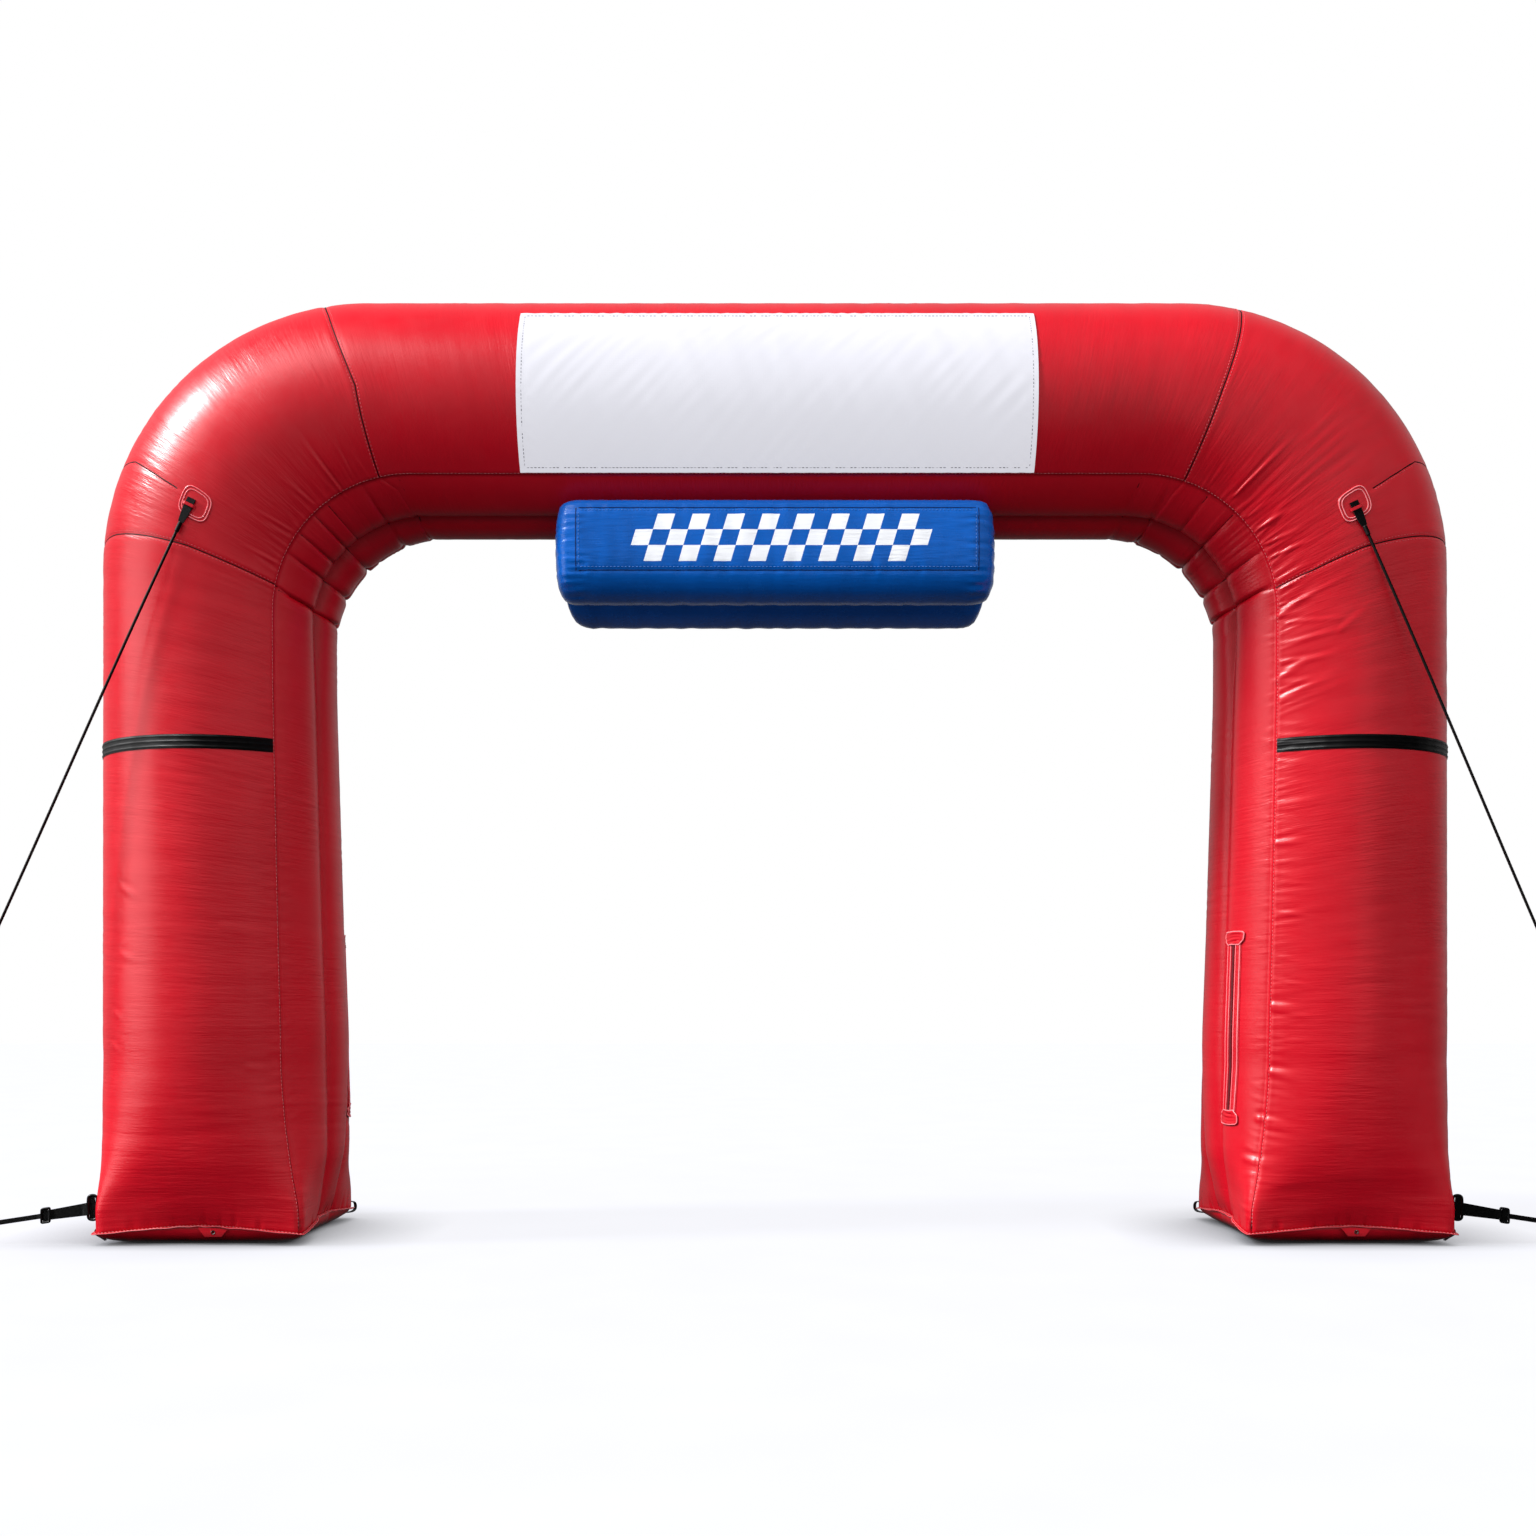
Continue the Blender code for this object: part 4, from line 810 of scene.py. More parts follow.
def webbing_cloth():
    """Black polyester webbing, woven in ribs across its width: dull, with a soft shine along the ribs."""
    material, tree, shader = blank("black_polyester_webbing", Roughness=0.42, Specular_IOR_Level=0.35)
    # Ribs lie 1.2 mm apart; they are drawn 3 mm apart so that they show.
    rows = ribs(tree, uv_place(tree), "Y", 105.0, 0.6)
    dust = noise(tree, object_place(tree), 60.0, 4.0)
    colour = ramp(tree, maths(tree, "MULTIPLY", rows, dust), ((0.10, "#040405"), (0.60, "#0C0C0E")))
    drive(tree, shader, Base_Color=colour, Normal=bumped(tree, rows, 0.5, 0.0006))
    return material


def grained(made, colours, scale, grain_scale, strength, distance):
    """A material with two shades of a colour and a fine grain."""
    material, tree, shader = made
    place = object_place(tree)
    colour = ramp(tree, noise(tree, place, scale, 3.0), tuple(zip((0.30, 0.75), colours)))
    grain = bumped(tree, noise(tree, place, grain_scale, 2.0), strength, distance)
    drive(tree, shader, Base_Color=colour, Normal=grain)
    return material


def braided_rope():
    """Black polypropylene rope, braided from twisted strands: dull, with dark gaps between the strands."""
    made = blank("black_braided_polypropylene", Roughness=0.60, Specular_IOR_Level=0.3)
    return grained(made, ("#050404", "#100C0D"), 140.0, 320.0, 0.4, 0.0008)


def moulded_plastic():
    """Black acetal, injection moulded: a fine even grain."""
    made = blank("black_moulded_acetal", Roughness=0.36, IOR=1.48)
    return grained(made, ("#060607", "#0D0D0F"), 45.0, 900.0, 0.15, 0.0003)


def pressed_steel():
    """Nickel-plated steel eyelet, pressed: bright, with fine wear in its shine."""
    material, tree, shader = blank("nickel_plated_steel", Metallic=1.0)
    wear_and_shade = noise(tree, object_place(tree), 260.0, 4.0)
    colour = ramp(tree, wear_and_shade, ((0.30, "#B9B6B0"), (0.80, "#DEDCD8")))
    drive(tree, shader, Base_Color=colour, Roughness=ranged(tree, wear_and_shade, 0.0, 1.0, 0.18, 0.40))
    return material


def sewing_thread(name, dark, light):
    """Bonded polyester thread, twisted: a soft shine along each stitch. In its near-black colours it makes the cords
    of painted shade in the grooves.
    """
    material, tree, shader = blank(name, Roughness=0.65, Specular_IOR_Level=0.15)
    colour = ramp(tree, noise(tree, object_place(tree), 300.0, 2.0), ((0.3, dark), (0.8, light)))
    drive(tree, shader, Base_Color=colour)
    return material


FLOOR_GLOW, CONTACT_REACH = 0.93, 0.55


def studio_floor():
    """Pale seamless paper, rolled out flat: matt, with a barely visible fibre, and a painted contact shadow in its
    glow near whatever stands on it.
    """
    material, tree, shader = blank(
        "white_studio_paper", Roughness=0.9, Specular_IOR_Level=0.0, Emission_Color=linear("#F6F6FA"),
    )
    place = object_place(tree)
    colour = ramp(tree, noise(tree, place, 2.0, 2.0), ((0.3, "#3E4046"), (0.7, "#42444A")))
    # Painted shadow: the glow that the camera sees is dimmed by ambient occlusion near the arch, less so in front of
    # the legs.
    near = add(tree, "ShaderNodeAmbientOcclusion", {"Distance": CONTACT_REACH}, samples=12).outputs["AO"]
    depth = add(tree, "ShaderNodeSeparateXYZ", {"Vector": place}).outputs["Y"]
    shade = maths(tree, "MULTIPLY", maths(tree, "SUBTRACT", 1.0, near), ranged(tree, depth, -0.62, -0.44, 0.25, 1.00))
    seen = add(tree, "ShaderNodeLightPath").outputs["Is Camera Ray"]
    glow = maths(tree, "MULTIPLY", maths(tree, "MULTIPLY", seen, maths(tree, "SUBTRACT", 1.0, shade)), FLOOR_GLOW)
    drive(tree, shader, Base_Color=colour, Emission_Strength=glow)
    return material


RED, BLUE, WHITE = "red_coated_fabric", "blue_coated_fabric", "white_banner_cloth"
# Slot of each finish, and what makes its material.
FINISHES = {
    "red": (RED, lambda: red_fabric("red_pvc_coated_polyester", *shades(looks().tube_colour), 0.33, 0.0)),
    "blue": (BLUE, pillow_fabric),
    "white": (WHITE, banner_cloth),
    "webbing": ("black_webbing", webbing_cloth),
    "rope": ("black_rope", braided_rope),
    "plastic": ("black_plastic", moulded_plastic),
    "steel": ("steel_eyelet", pressed_steel),
    "pink_thread": (RED, lambda: sewing_thread(
        "salmon_polyester_thread", *shades(looks().thread_colour, 0.30)[::2]
    )),
    "red_thread": (RED, lambda: sewing_thread("red_polyester_thread", "#BC404A", "#DE7278")),
    # Painted shade: near-black red cords laid in the grooves of seams, creases and tucks.
    "painted_groove_shade": (RED, lambda: sewing_thread("dark_red_painted_groove_shade", "#240005", "#380209")),
    "blue_thread": (BLUE, lambda: sewing_thread(
        "blue_polyester_thread", *shades(looks().pillow_thread_colour, 0.35)[::2]
    )),
    # Painted shade: dark blue cords laid in the seams of the pillow's front panel.
    "painted_blue_seam_shade": (BLUE, lambda: sewing_thread("dark_blue_painted_seam_shade", "#031A4C", "#062A6A")),
    "white_thread": (WHITE, lambda: sewing_thread("white_polyester_thread", "#6C6C74", "#84848C")),
    # Pale red of the welds, also used for the painted highlights along the zip's pipings.
    "weld": (RED, lambda: coated_fabric("pale_red_weld_and_painted_highlight", "#D8545E", "#E87A80", "#F2A0A2", 0.35, 0.1)),
    # Painted highlight: a pale red cord along the rim of the base seam's flange.
    "cut_edge": (RED, lambda: coated_fabric("pale_red_painted_edge_highlight", "#A8242E", "#C04850", "#E08C8E", 0.45, 0.0)),
    # Painted shadow: a near-black red strip in the gap between the zip's pipings.
    "shade_strip_cloth": (RED, lambda: coated_fabric("dark_red_zip_tape", "#4A020A", "#5A030E", "#6A0512", 0.45, 0.0)),
    "floor": (None, studio_floor),
}
MADE = {}


def looks():
    """The sizes and colours set in the sidebar."""
    return bpy.context.scene.arch_looks


def finish_of(name):
    if name not in MADE:
        MADE[name] = FINISHES[name][1]()
    return MADE[name]


def dress(piece, finish, *replaced):
    """Hides the nodes that a piece stands for; the finish is not used."""
    if replaced:
        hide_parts(*replaced)
    return piece


def named(base, side, *labels):
    return "_".join([base, "left" if side < 0 else "right", *labels])


# Guy lines, as their solids have them.

GuyLine = namedtuple("GuyLine", "side top_x top_z end_x end_y end_z")
GUY_LINES = (
    GuyLine(-1, 2.540, 3.270, 3.500, -0.440, 1.2635), GuyLine(1, 2.520, 3.256, 3.440, -0.440, 1.2370),
)
PATCH_BEND_ANGLE = 22.7
PATCH_HALF_RUN = 0.066
PATCH_ANGLES = (84.0, 98.8)
LOOP_AT, LOOP_WIDTH, LOOP_FOOT = 0.030, 0.030, 0.030
GUY_WEBBING = 0.005
GUY_WEBBING_LENGTH = 0.115
TONGUE_WIDTHS = ((0.0, 0.040), (0.055, 0.040), (0.090, 0.034), (GUY_WEBBING_LENGTH, 0.026))
GUY_TOP_Y, GUY_LOW_Y = -0.5466, -0.5444
SLEEVE_LENGTH, SLEEVE_RADIUS, SLEEVE_GAP = 0.045, 0.0100, 0.0008
SLEEVE_TURNS, END_SLEEVE_TURNS, TWINE_SWELL = 9, 8, 0.035
ROPE_RADIUS, ROPE_SAG, ROPE_POINTS = 0.0065, 0.008, 34
ROPE_SIDES, ROPE_STRANDS, STRAND_DEPTH, ROPE_LAY, EYE_LAY = 12, 3, 0.09, 0.050, 0.030
END_SLEEVE_LENGTH, END_SLEEVE_THICK, END_SLEEVE_WIDE = 0.040, 0.0093, 0.0155
END_LOOP_LENGTH, END_LOOP_HALF_WIDTH, END_LOOP_SLANT = 0.060, 0.017, 0.0028
GAP, SKIN_GAP, WEBBING = 0.0004, 0.0007, 0.0020
LAYER = WEBBING / 2 + GAP

# Ground anchors, as |X|, Y and Z.
ANCHOR_Y = -0.405
RING_X, RING_BAR = (3.0104, 3.0516), 0.0050
STRAP_FALL, STRAP_ZERO_Z = -0.152, 0.156
TAB_HEIGHTS, TAB_ROOT, TAB_TAIL = (0.1375, 0.1875), 0.012, (3.0178, 0.075)
WEBBING_WIDTHS = (0.056, 0.044)
BUCKLE_X, BUCKLE_BAR, BUCKLE_HALF_WIDTH = 3.240, 0.0040, 0.0185
NEAR_BAR, FAR_BAR = BUCKLE_X - BUCKLE_HALF_WIDTH, BUCKLE_X + BUCKLE_HALF_WIDTH
RING_WEB_WIDTH, BUCKLE_WEB_WIDTH, WEB_INSET = 0.106, 0.055, 0.004
STRAP_NECK, STRAP_TAIL, STRAP_SEWN, BELT_NECK = 0.020, 0.045, 0.060, 0.008
STRAP_END_X = {-1: 3.470, 1: 3.410}
STRAP_WIDTH, EYE_RADIUS, EYE_REACH = 0.022, 0.011, 0.040
STRAP_STEP, EYE_STEP = 0.004, 0.003
# Subdividing draws a shape in, so each is grown by this first.
BUCKLE_GROWTH, RING_GROWTH, EYELET_GROWTH = 0.0018, 0.0020, 0.0002
CORNER_STRAP_WIDTH = 0.025
CORNER_STRAP_PATH = (
    (3.0018, 0.100), (3.0060, 0.078), (3.0165, 0.063), (3.0172, 0.048), (3.0080, 0.0390), (2.9900, 0.0290),
    (2.9720, 0.0170),
)
REAR_LOOP_WIDTH = 0.025
REAR_LOOP_PATH = (
    (0.0002, 0.084), (0.018, 0.083), (0.029, 0.075), (0.033, 0.060), (0.030, 0.045), (0.018, 0.035),
    (-0.002, 0.032), (-0.0230, 0.032),
)

# Pillow and its printed chequer: left, right, bottom and top.
SIGN_HALF_LENGTH, SIGN_MIDDLE_Z, SIGN_CREASE = 0.990, 3.095, 2.965
PRINT_BOX = (-0.660, 0.655, 3.030, 3.240)
PRINT_SLANT, PRINT_COLUMNS, PRINT_ROWS = 0.30, 17, 3
# Heights between which the painted shade at the base gives way to the fabric's own colour.
BASE_SHADE_HEIGHTS = (0.022, 0.070)


# Guy lines and ground anchors.


def guy_frame(line):
    """Start of a guy line, its end, the way it leaves along the patch, and the way across it."""
    start = Vector((line.side * line.top_x, GUY_TOP_Y, line.top_z))
    end = Vector((line.side * line.end_x, line.end_y, line.end_z))
    down = Vector((end.x - start.x, 0.0, end.z - start.z)).normalized()
    down = (down + Vector((0.0, (GUY_LOW_Y - GUY_TOP_Y) / GUY_WEBBING_LENGTH, 0.0))).normalized()
    return start, end, down, down.cross(Vector((0.0, 1.0, 0.0))).normalized()


def rope_points(line):
    """Points along a guy rope, from its sleeve to the edge of the view."""
    start, end, down, _ = guy_frame(line)
    start = start + down * (GUY_WEBBING_LENGTH + SLEEVE_LENGTH + SLEEVE_GAP + GAP)
    points = []
    for share in np.linspace(0, 1, ROPE_POINTS):
        at = start.lerp(end, share)
        at.y = mix(start.y, end.y, share * share * (2 - share))
        at.z -= ROPE_SAG * 4 * share * (1 - share)
        points.append(at)
    return points


def twisted_tube(name, path, lay, across, replaced):
    """A rope through a path, whose strands twist once in each lay."""
    path = resample(path, lay / ROPE_SIDES)
    turn = np.arange(ROPE_SIDES) * 2 * math.pi / ROPE_SIDES
    place = np.arange(len(path))[:, None] * (lay / ROPE_SIDES) / lay * 2 * math.pi
    swell = ROPE_RADIUS * (1 - STRAND_DEPTH * (0.5 - 0.5 * np.cos(ROPE_STRANDS * (turn[None] - place))) ** 2)
    profile = np.stack([swell * np.cos(turn), swell * np.sin(turn)], axis=-1)
    return sweep(name, path, profile, across, "rope", replaced, sharp=None)


def wrapped_sleeve(name, start, down, across, length, sizes, turns, replaced):
    """Whipping twine wound round the end of a rope, with rounded ends."""
    share = np.linspace(0, 1, turns * 6 + 1)
    size = np.interp(share, (0, 0.06, 0.94, 1), (0.72, 0.97, 0.94, 0.72))
    size = size + TWINE_SWELL * np.cos(share * turns * 2 * math.pi)
    profile = size[:, None, None] * circle(16)[None] * np.array(sizes)
    path = np.array([start + down * (length * s) for s in share])
    return sweep(name, path, profile, across, "rope", replaced, sharp=None)


def make_guy_lines():
    """Guy ropes from the sleeves on the shoulders to the edges of the view, with their eyes."""
    for line in GUY_LINES:
        start, end, down, across = guy_frame(line)
        side = line.side
        path = rope_points(line)
        rope = twisted_tube(named("rope", side), path, ROPE_LAY, across, named("guy_rope", side))
        sleeve = wrapped_sleeve(
            named("rope_whipping", side), start + down * (GUY_WEBBING_LENGTH + GAP), down, across, SLEEVE_LENGTH,
            (SLEEVE_RADIUS, SLEEVE_RADIUS), SLEEVE_TURNS, named("guy_sleeve", side),
        )
        end_sleeve = wrapped_sleeve(
            named("eye_whipping", side), end + down * SLEEVE_GAP, down, across, END_SLEEVE_LENGTH,
            (END_SLEEVE_THICK, END_SLEEVE_WIDE), END_SLEEVE_TURNS, named("guy_end_sleeve", side),
        )
        root = end + down * (END_SLEEVE_LENGTH + 2 * SLEEVE_GAP + END_LOOP_SLANT)
        eye_path = []
        for turn in np.linspace(0, math.pi, 25):
            out = (ROPE_RADIUS + SLEEVE_GAP) * math.cos(turn) + END_LOOP_HALF_WIDTH * math.sin(2 * turn)
            eye_path.append(root + down * (END_LOOP_LENGTH * math.sin(turn)) + across * out)
        eye = twisted_tube(named("rope_eye", side), eye_path, EYE_LAY, (0, 1, 0), named("guy_end_loop", side))

        places = np.linspace(0, GUY_WEBBING_LENGTH, 40)
        profile = np.stack([strip_profile(GUY_WEBBING, width, 6) for width in between(TONGUE_WIDTHS, places)])
        path = [start + down * place for place in places]
        sweep(named("guy_tongue", side), path, profile, across, "webbing", named("guy_webbing", side))


def strap_z(x):
    return STRAP_ZERO_Z + STRAP_FALL * (np.abs(x) - RING_X[1])


def fallen(side, points):
    """Level |X|, Y points brought onto the strap's fall."""
    return np.array([(side * x, y, strap_z(x)) for x, y in points])


def arc(radius, centre_x, start, turn):
    angles = np.radians(start + turn * np.linspace(0, 1, 11))
    return [(centre_x + radius * math.cos(a), radius * math.sin(a)) for a in angles]


def belt_path(near_x, near_radius, far_x, far_radius):
    """Closed path of webbing round two bars, with its layers together between them."""
    neck_near = near_x + 2.2 * near_radius + BELT_NECK
    neck_far = far_x - 2.2 * far_radius - BELT_NECK
    middle = np.linspace(neck_near, neck_far, 9)
    path = [(x, -LAYER) for x in middle]
    path += arc(far_radius, far_x, -100, 200)
    path += [(x, LAYER) for x in middle[::-1]]
    path += arc(near_radius, near_x, 80, 200)
    return [(x, ANCHOR_Y + y) for x, y in path]


def flat_webbing(name, line, width, *replaced, thick=WEBBING, steps=6, across=UP, closed=False):
    """Flat webbing of one width along a line."""
    return sweep(name, line, strip_profile(thick, width, steps), across, "webbing", *replaced, closed=closed)


def refined(node, name, finish, growth):
    """A smooth copy of a moulded or pressed solid: merged, grown a little and subdivided."""
    bpy.ops.object.select_all(action="DESELECT")
    source = frame["nodes"][node]
    source.select_set(True)
    bpy.context.view_layer.objects.active = source
    bpy.ops.object.duplicate()
    made = bpy.context.view_layer.objects.active
    made.name = made.data.name = name
    made.parent = None
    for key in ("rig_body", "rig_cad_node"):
        if key in made:
            del made[key]
    bpy.ops.object.mode_set(mode="EDIT")
    bpy.ops.mesh.select_all(action="SELECT")
    bpy.ops.mesh.remove_doubles(threshold=0.0001)
    bpy.ops.mesh.tris_convert_to_quads()
    bpy.ops.transform.shrink_fatten(value=growth)
    bpy.ops.object.mode_set(mode="OBJECT")
    modifier = made.modifiers.new("round", "SUBSURF")
    modifier.levels = modifier.render_levels = 2
    bpy.ops.object.modifier_apply(modifier=modifier.name)
    bpy.ops.object.shade_smooth()
    made.data.materials.clear()
    made.data.materials.append(finish_of(finish))
    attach(made, "root")
    made.select_set(False)
    return dress(made, finish, node)


def make_ground_strap(side):
    """Ladder buckle, and the strap that leaves it towards its peg, with a sewn loop at its end."""
    end_x = STRAP_END_X[side]
    path = [(FAR_BAR + STRAP_TAIL, LAYER), (FAR_BAR + STRAP_NECK, LAYER)]
    path += arc(BUCKLE_BAR + LAYER, FAR_BAR, 80, 200)
    path += [(FAR_BAR + STRAP_NECK, -LAYER), (FAR_BAR + STRAP_SEWN, -LAYER)]
    path += [(mix(FAR_BAR + STRAP_SEWN, end_x, s / 4), -LAYER * (1 - s / 4)) for s in range(1, 5)]
    line = resample(fallen(side, [(x, ANCHOR_Y + y) for x, y in path]), STRAP_STEP)
    strap = flat_webbing(named("ground_strap", side), line, STRAP_WIDTH, named("anchor_strap", side))

    path = belt_path(end_x + LAYER + WEBBING / 2 + GAP, LAYER, end_x + EYE_REACH, EYE_RADIUS)
    end = flat_webbing(
        named("strap_loop", side), resample(fallen(side, path), EYE_STEP, True), STRAP_WIDTH,
        named("anchor_end_loop", side), closed=True,
    )
    refined(named("anchor_buckle", side), named("ladder_buckle", side), "plastic", BUCKLE_GROWTH)
    points = [tuple(p) for p in resample(line, 0.010)]


def make_anchor_belt(side):
    """Belt of webbing from the ring to the buckle, the ring, and the webs that fill the ring and the buckle."""
    path = belt_path(RING_X[1], RING_BAR + LAYER, NEAR_BAR, BUCKLE_BAR + LAYER)
    line = resample(fallen(side, path), STRAP_STEP, True)
    widths = np.interp(np.abs(line[:, 0]), (RING_X[1], NEAR_BAR), WEBBING_WIDTHS)
    profile = np.stack([strip_profile(WEBBING, width, 8) for width in widths])
    sweep(named("anchor_belt", side), line, profile, UP, "webbing", named("anchor_webbing", side), closed=True)
    refined(named("base_ring", side), named("oval_ring", side), "plastic", RING_GROWTH)
    for label, low, high, width in (
        ("ring_web", *RING_X, RING_WEB_WIDTH), ("buckle_web", NEAR_BAR, FAR_BAR, BUCKLE_WEB_WIDTH),
    ):
        line = fallen(side, [(x, ANCHOR_Y) for x in np.linspace(low + WEB_INSET, high - WEB_INSET, 8)])
        flat_webbing(named(label, side), line, width, thick=2 * WEBBING, steps=8)


def make_ring_tab(side):
    """Webbing tab that holds the ring on the leg."""
    wrap = RING_BAR + GAP + WEBBING / 2
    bar_x = RING_X[0]
    around = [(x, ANCHOR_Y + y) for x, y in arc(wrap, bar_x, 180, 180)]
    root = Vector((bar_x - wrap, ANCHOR_Y + TAB_ROOT))
    tail = Vector((TAB_TAIL[0], ANCHOR_Y + TAB_TAIL[1]))
    apart = Vector((WEBBING + 2 * GAP, 0.0))
    path = [tail, root.lerp(tail, 0.5), root, *around, root.lerp(tail, 0.25) + apart, root.lerp(tail, 0.60) + apart]
    middle = mix(*TAB_HEIGHTS, 0.5)
    line = resample(np.array([(side * p[0], p[1], middle) for p in path]), STRAP_STEP)
    width = TAB_HEIGHTS[1] - TAB_HEIGHTS[0]
    flat_webbing(named("ring_webbing", side), line, width, named("ring_tab", side), steps=8)


def make_corner_straps(side):
    """Webbing round the corner of the base seam, and the loop at the inner rear corner."""
    line = resample(np.array([(side * x, ANCHOR_Y, z) for x, z in CORNER_STRAP_PATH]), STRAP_STEP)
    flat_webbing(
        named("seam_strap", side), line, CORNER_STRAP_WIDTH, named("corner_strap", side), across=(0, 1, 0)
    )
    outwards = Vector((-side, 1.0, 0.0)).normalized()
    corner = Vector(section(base_stations([(SKIN_FROM, 0.0, 1.0)]), side, np.array([[-SEAM_ANGLE]]))[0, 0])
    corner.z = 0.0
    line = np.array([corner + outwards * out + Vector((0, 0, z)) for out, z in REAR_LOOP_PATH])
    flat_webbing(
        named("corner_loop", side), resample(line, STRAP_STEP), REAR_LOOP_WIDTH, named("rear_loop", side),
        thick=2 * WEBBING, across=Vector(UP).cross(outwards),
    )


def make_anchors():
    """Rings, webbing, ladder buckles and straps at the corners of the bases."""
    for side in SIDES:
        make_ground_strap(side)
        make_anchor_belt(side)
        make_ring_tab(side)
        make_corner_straps(side)


# The tube.

LOBE_COLUMNS, REAR_COLUMNS, OUTER_COLUMNS, FRONT_COLUMNS = 22, 40, 56, 76
LEG_STEP, SHOULDER_STEP, BEAM_STEP = 0.0106, 0.0078, 0.0185
# How far from a slanted seam the rows still bend towards it.
LEG_EASE, SHOULDER_EASE, BEAM_EASE = 0.45, 0.35, 0.50


def tube_columns():
    """Section angles of the tube's columns, closer together beside the inner seams."""

    def shares(count):
        return np.linspace(0, 1, count, endpoint=False)

    def panel(count):
        return (CORNER_ANGLE - SEAM_ANGLE) * (0.45 * shares(count) + 0.55 * shares(count) ** 1.6)

    lobes = np.concatenate([SEAM_ANGLE - LOBE_ANGLE * (lobe + shares(LOBE_COLUMNS)) for lobe in range(3)])
    rear = -SEAM_ANGLE - panel(REAR_COLUMNS)
    outer = -CORNER_ANGLE - (360 - 2 * CORNER_ANGLE) * shares(OUTER_COLUMNS)
    front = np.concatenate([[CORNER_ANGLE], (SEAM_ANGLE + panel(FRONT_COLUMNS))[:0:-1]])
    angles = np.concatenate([lobes, rear, outer, front])
    return np.where(angles <= -180, angles + 360, angles)


def seam_rows(low, high, step, snap=()):
    """Runs from one level to another at about an even step, with the nearest row moved onto each snap level."""
    runs = np.linspace(low, high, int(round((high - low) / step)) + 1)
    for level in snap:
        if low < level < high:
            runs[np.argmin(np.abs(runs - level))] = level
    return runs


def panel_piece(name, points, uv):
    """A panel of the tube between two levels, closed by inner walls at its ends."""
    count, columns = points.shape[:2]
    made = mesh_object(name, points, grid_faces(count, columns, True), "red", "arch_tube", uv=uv)
    # The last column meets the first half a turn away, so its cloth places run on past it.
    layer = made.data.uv_layers["cloth"].data
    places = np.empty(2 * len(layer), np.float32)
    layer.foreach_get("uv", places)
    places = places.reshape(-1, 4, 2)
    torn = np.ptp(places[..., 0], axis=1) > 180 * HOOP
    places[torn, :, 0] = np.where(places[torn, :, 0] < 0, places[torn, :, 0] + 360 * HOOP, places[torn, :, 0])
    layer.foreach_set("uv", places.ravel())
    shape = bmesh.new()
    shape.from_mesh(made.data)
    shape.verts.ensure_lookup_table()
    rings = range(columns), range((count - 1) * columns, count * columns)
    caps = [shape.faces.new([shape.verts[i] for i in ring]) for ring in rings]
    bmesh.ops.recalc_face_normals(shape, faces=shape.faces)
    if shape.calc_volume(signed=True) < 0:
        bmesh.ops.reverse_faces(shape, faces=shape.faces)
    for cap in caps:
        cap.smooth = False
        for edge in cap.edges:
            edge.smooth = False
    shape.to_mesh(made.data)
    shape.free()


def skin_rows(side, runs, angles):
    """Points and cloth places of rows whose runs are given for every column."""
    points, _ = tube_skin(side, runs, angles)
    return points, np.stack([np.broadcast_to(angles * HOOP, runs.shape), runs], axis=-1)


def eased_runs(runs, angles, seams):
    """Rows of runs bent onto the slanted seams near their own levels."""
    grid = np.repeat(runs[:, None], len(angles), axis=1)
    for places, reach in seams:
        target = seam_run(places, angles)[None, :]
        nearest = runs[np.argmin(np.abs(runs - bend_run(places[0])))]
        weight = np.clip(1 - np.abs(grid - nearest) / reach, 0, 1)
        grid = grid + weight * (target - nearest)
    return grid


def make_tube():
    """Legs, shoulders and beam: coated fabric, sewn along the creases and seams."""
    angles = tube_columns()
    base = base_stations(BASE_ROWS)
    base_places = np.array([-inset for _, inset, _ in BASE_ROWS])[:, None]
    base_uv = np.stack(np.broadcast_arrays(angles[None] * HOOP, base_places), axis=-1)
    for side in SIDES:
        leg_end, beam_start = bend_run(LEG_SEAMS[side][0]), bend_run(BEAM_SEAMS[side][0])
        runs = seam_rows(SKIN_FROM, leg_end, LEG_STEP)
        points, uv = skin_rows(side, eased_runs(runs, angles, [(LEG_SEAMS[side], LEG_EASE)]), angles)
        points = np.concatenate([section(base, side, angles[None]), points])
        panel_piece(named("leg_fabric", side), points, np.concatenate([base_uv, uv]))
        runs = seam_rows(leg_end, beam_start, SHOULDER_STEP, [bend_run(row[0]) for row in TUCKS[side]])
        seams = [(LEG_SEAMS[side], SHOULDER_EASE), (BEAM_SEAMS[side], SHOULDER_EASE)]
        panel_piece(named("shoulder_fabric", side), *skin_rows(side, eased_runs(runs, angles, seams), angles))
    halves = []
    for side in SIDES:
        last_tuck = bend_run(TUCKS[side][-1][0])
        runs = seam_rows(bend_run(BEAM_SEAMS[side][0]), CENTRE_RUN, BEAM_STEP, [last_tuck])
        halves.append(skin_rows(side, eased_runs(runs, angles, [(BEAM_SEAMS[side], BEAM_EASE)]), angles))
    (left, left_uv), (right, right_uv) = halves
    right_uv = right_uv[-2::-1].copy()
    right_uv[..., 1] = 2 * CENTRE_RUN - right_uv[..., 1]
    panel_piece("beam_fabric", np.concatenate([left, right[-2::-1]]), np.concatenate([left_uv, right_uv]))


# Seams of the tube. Dark cords of painted shade lie in the grooves, and rows of stitches beside them.

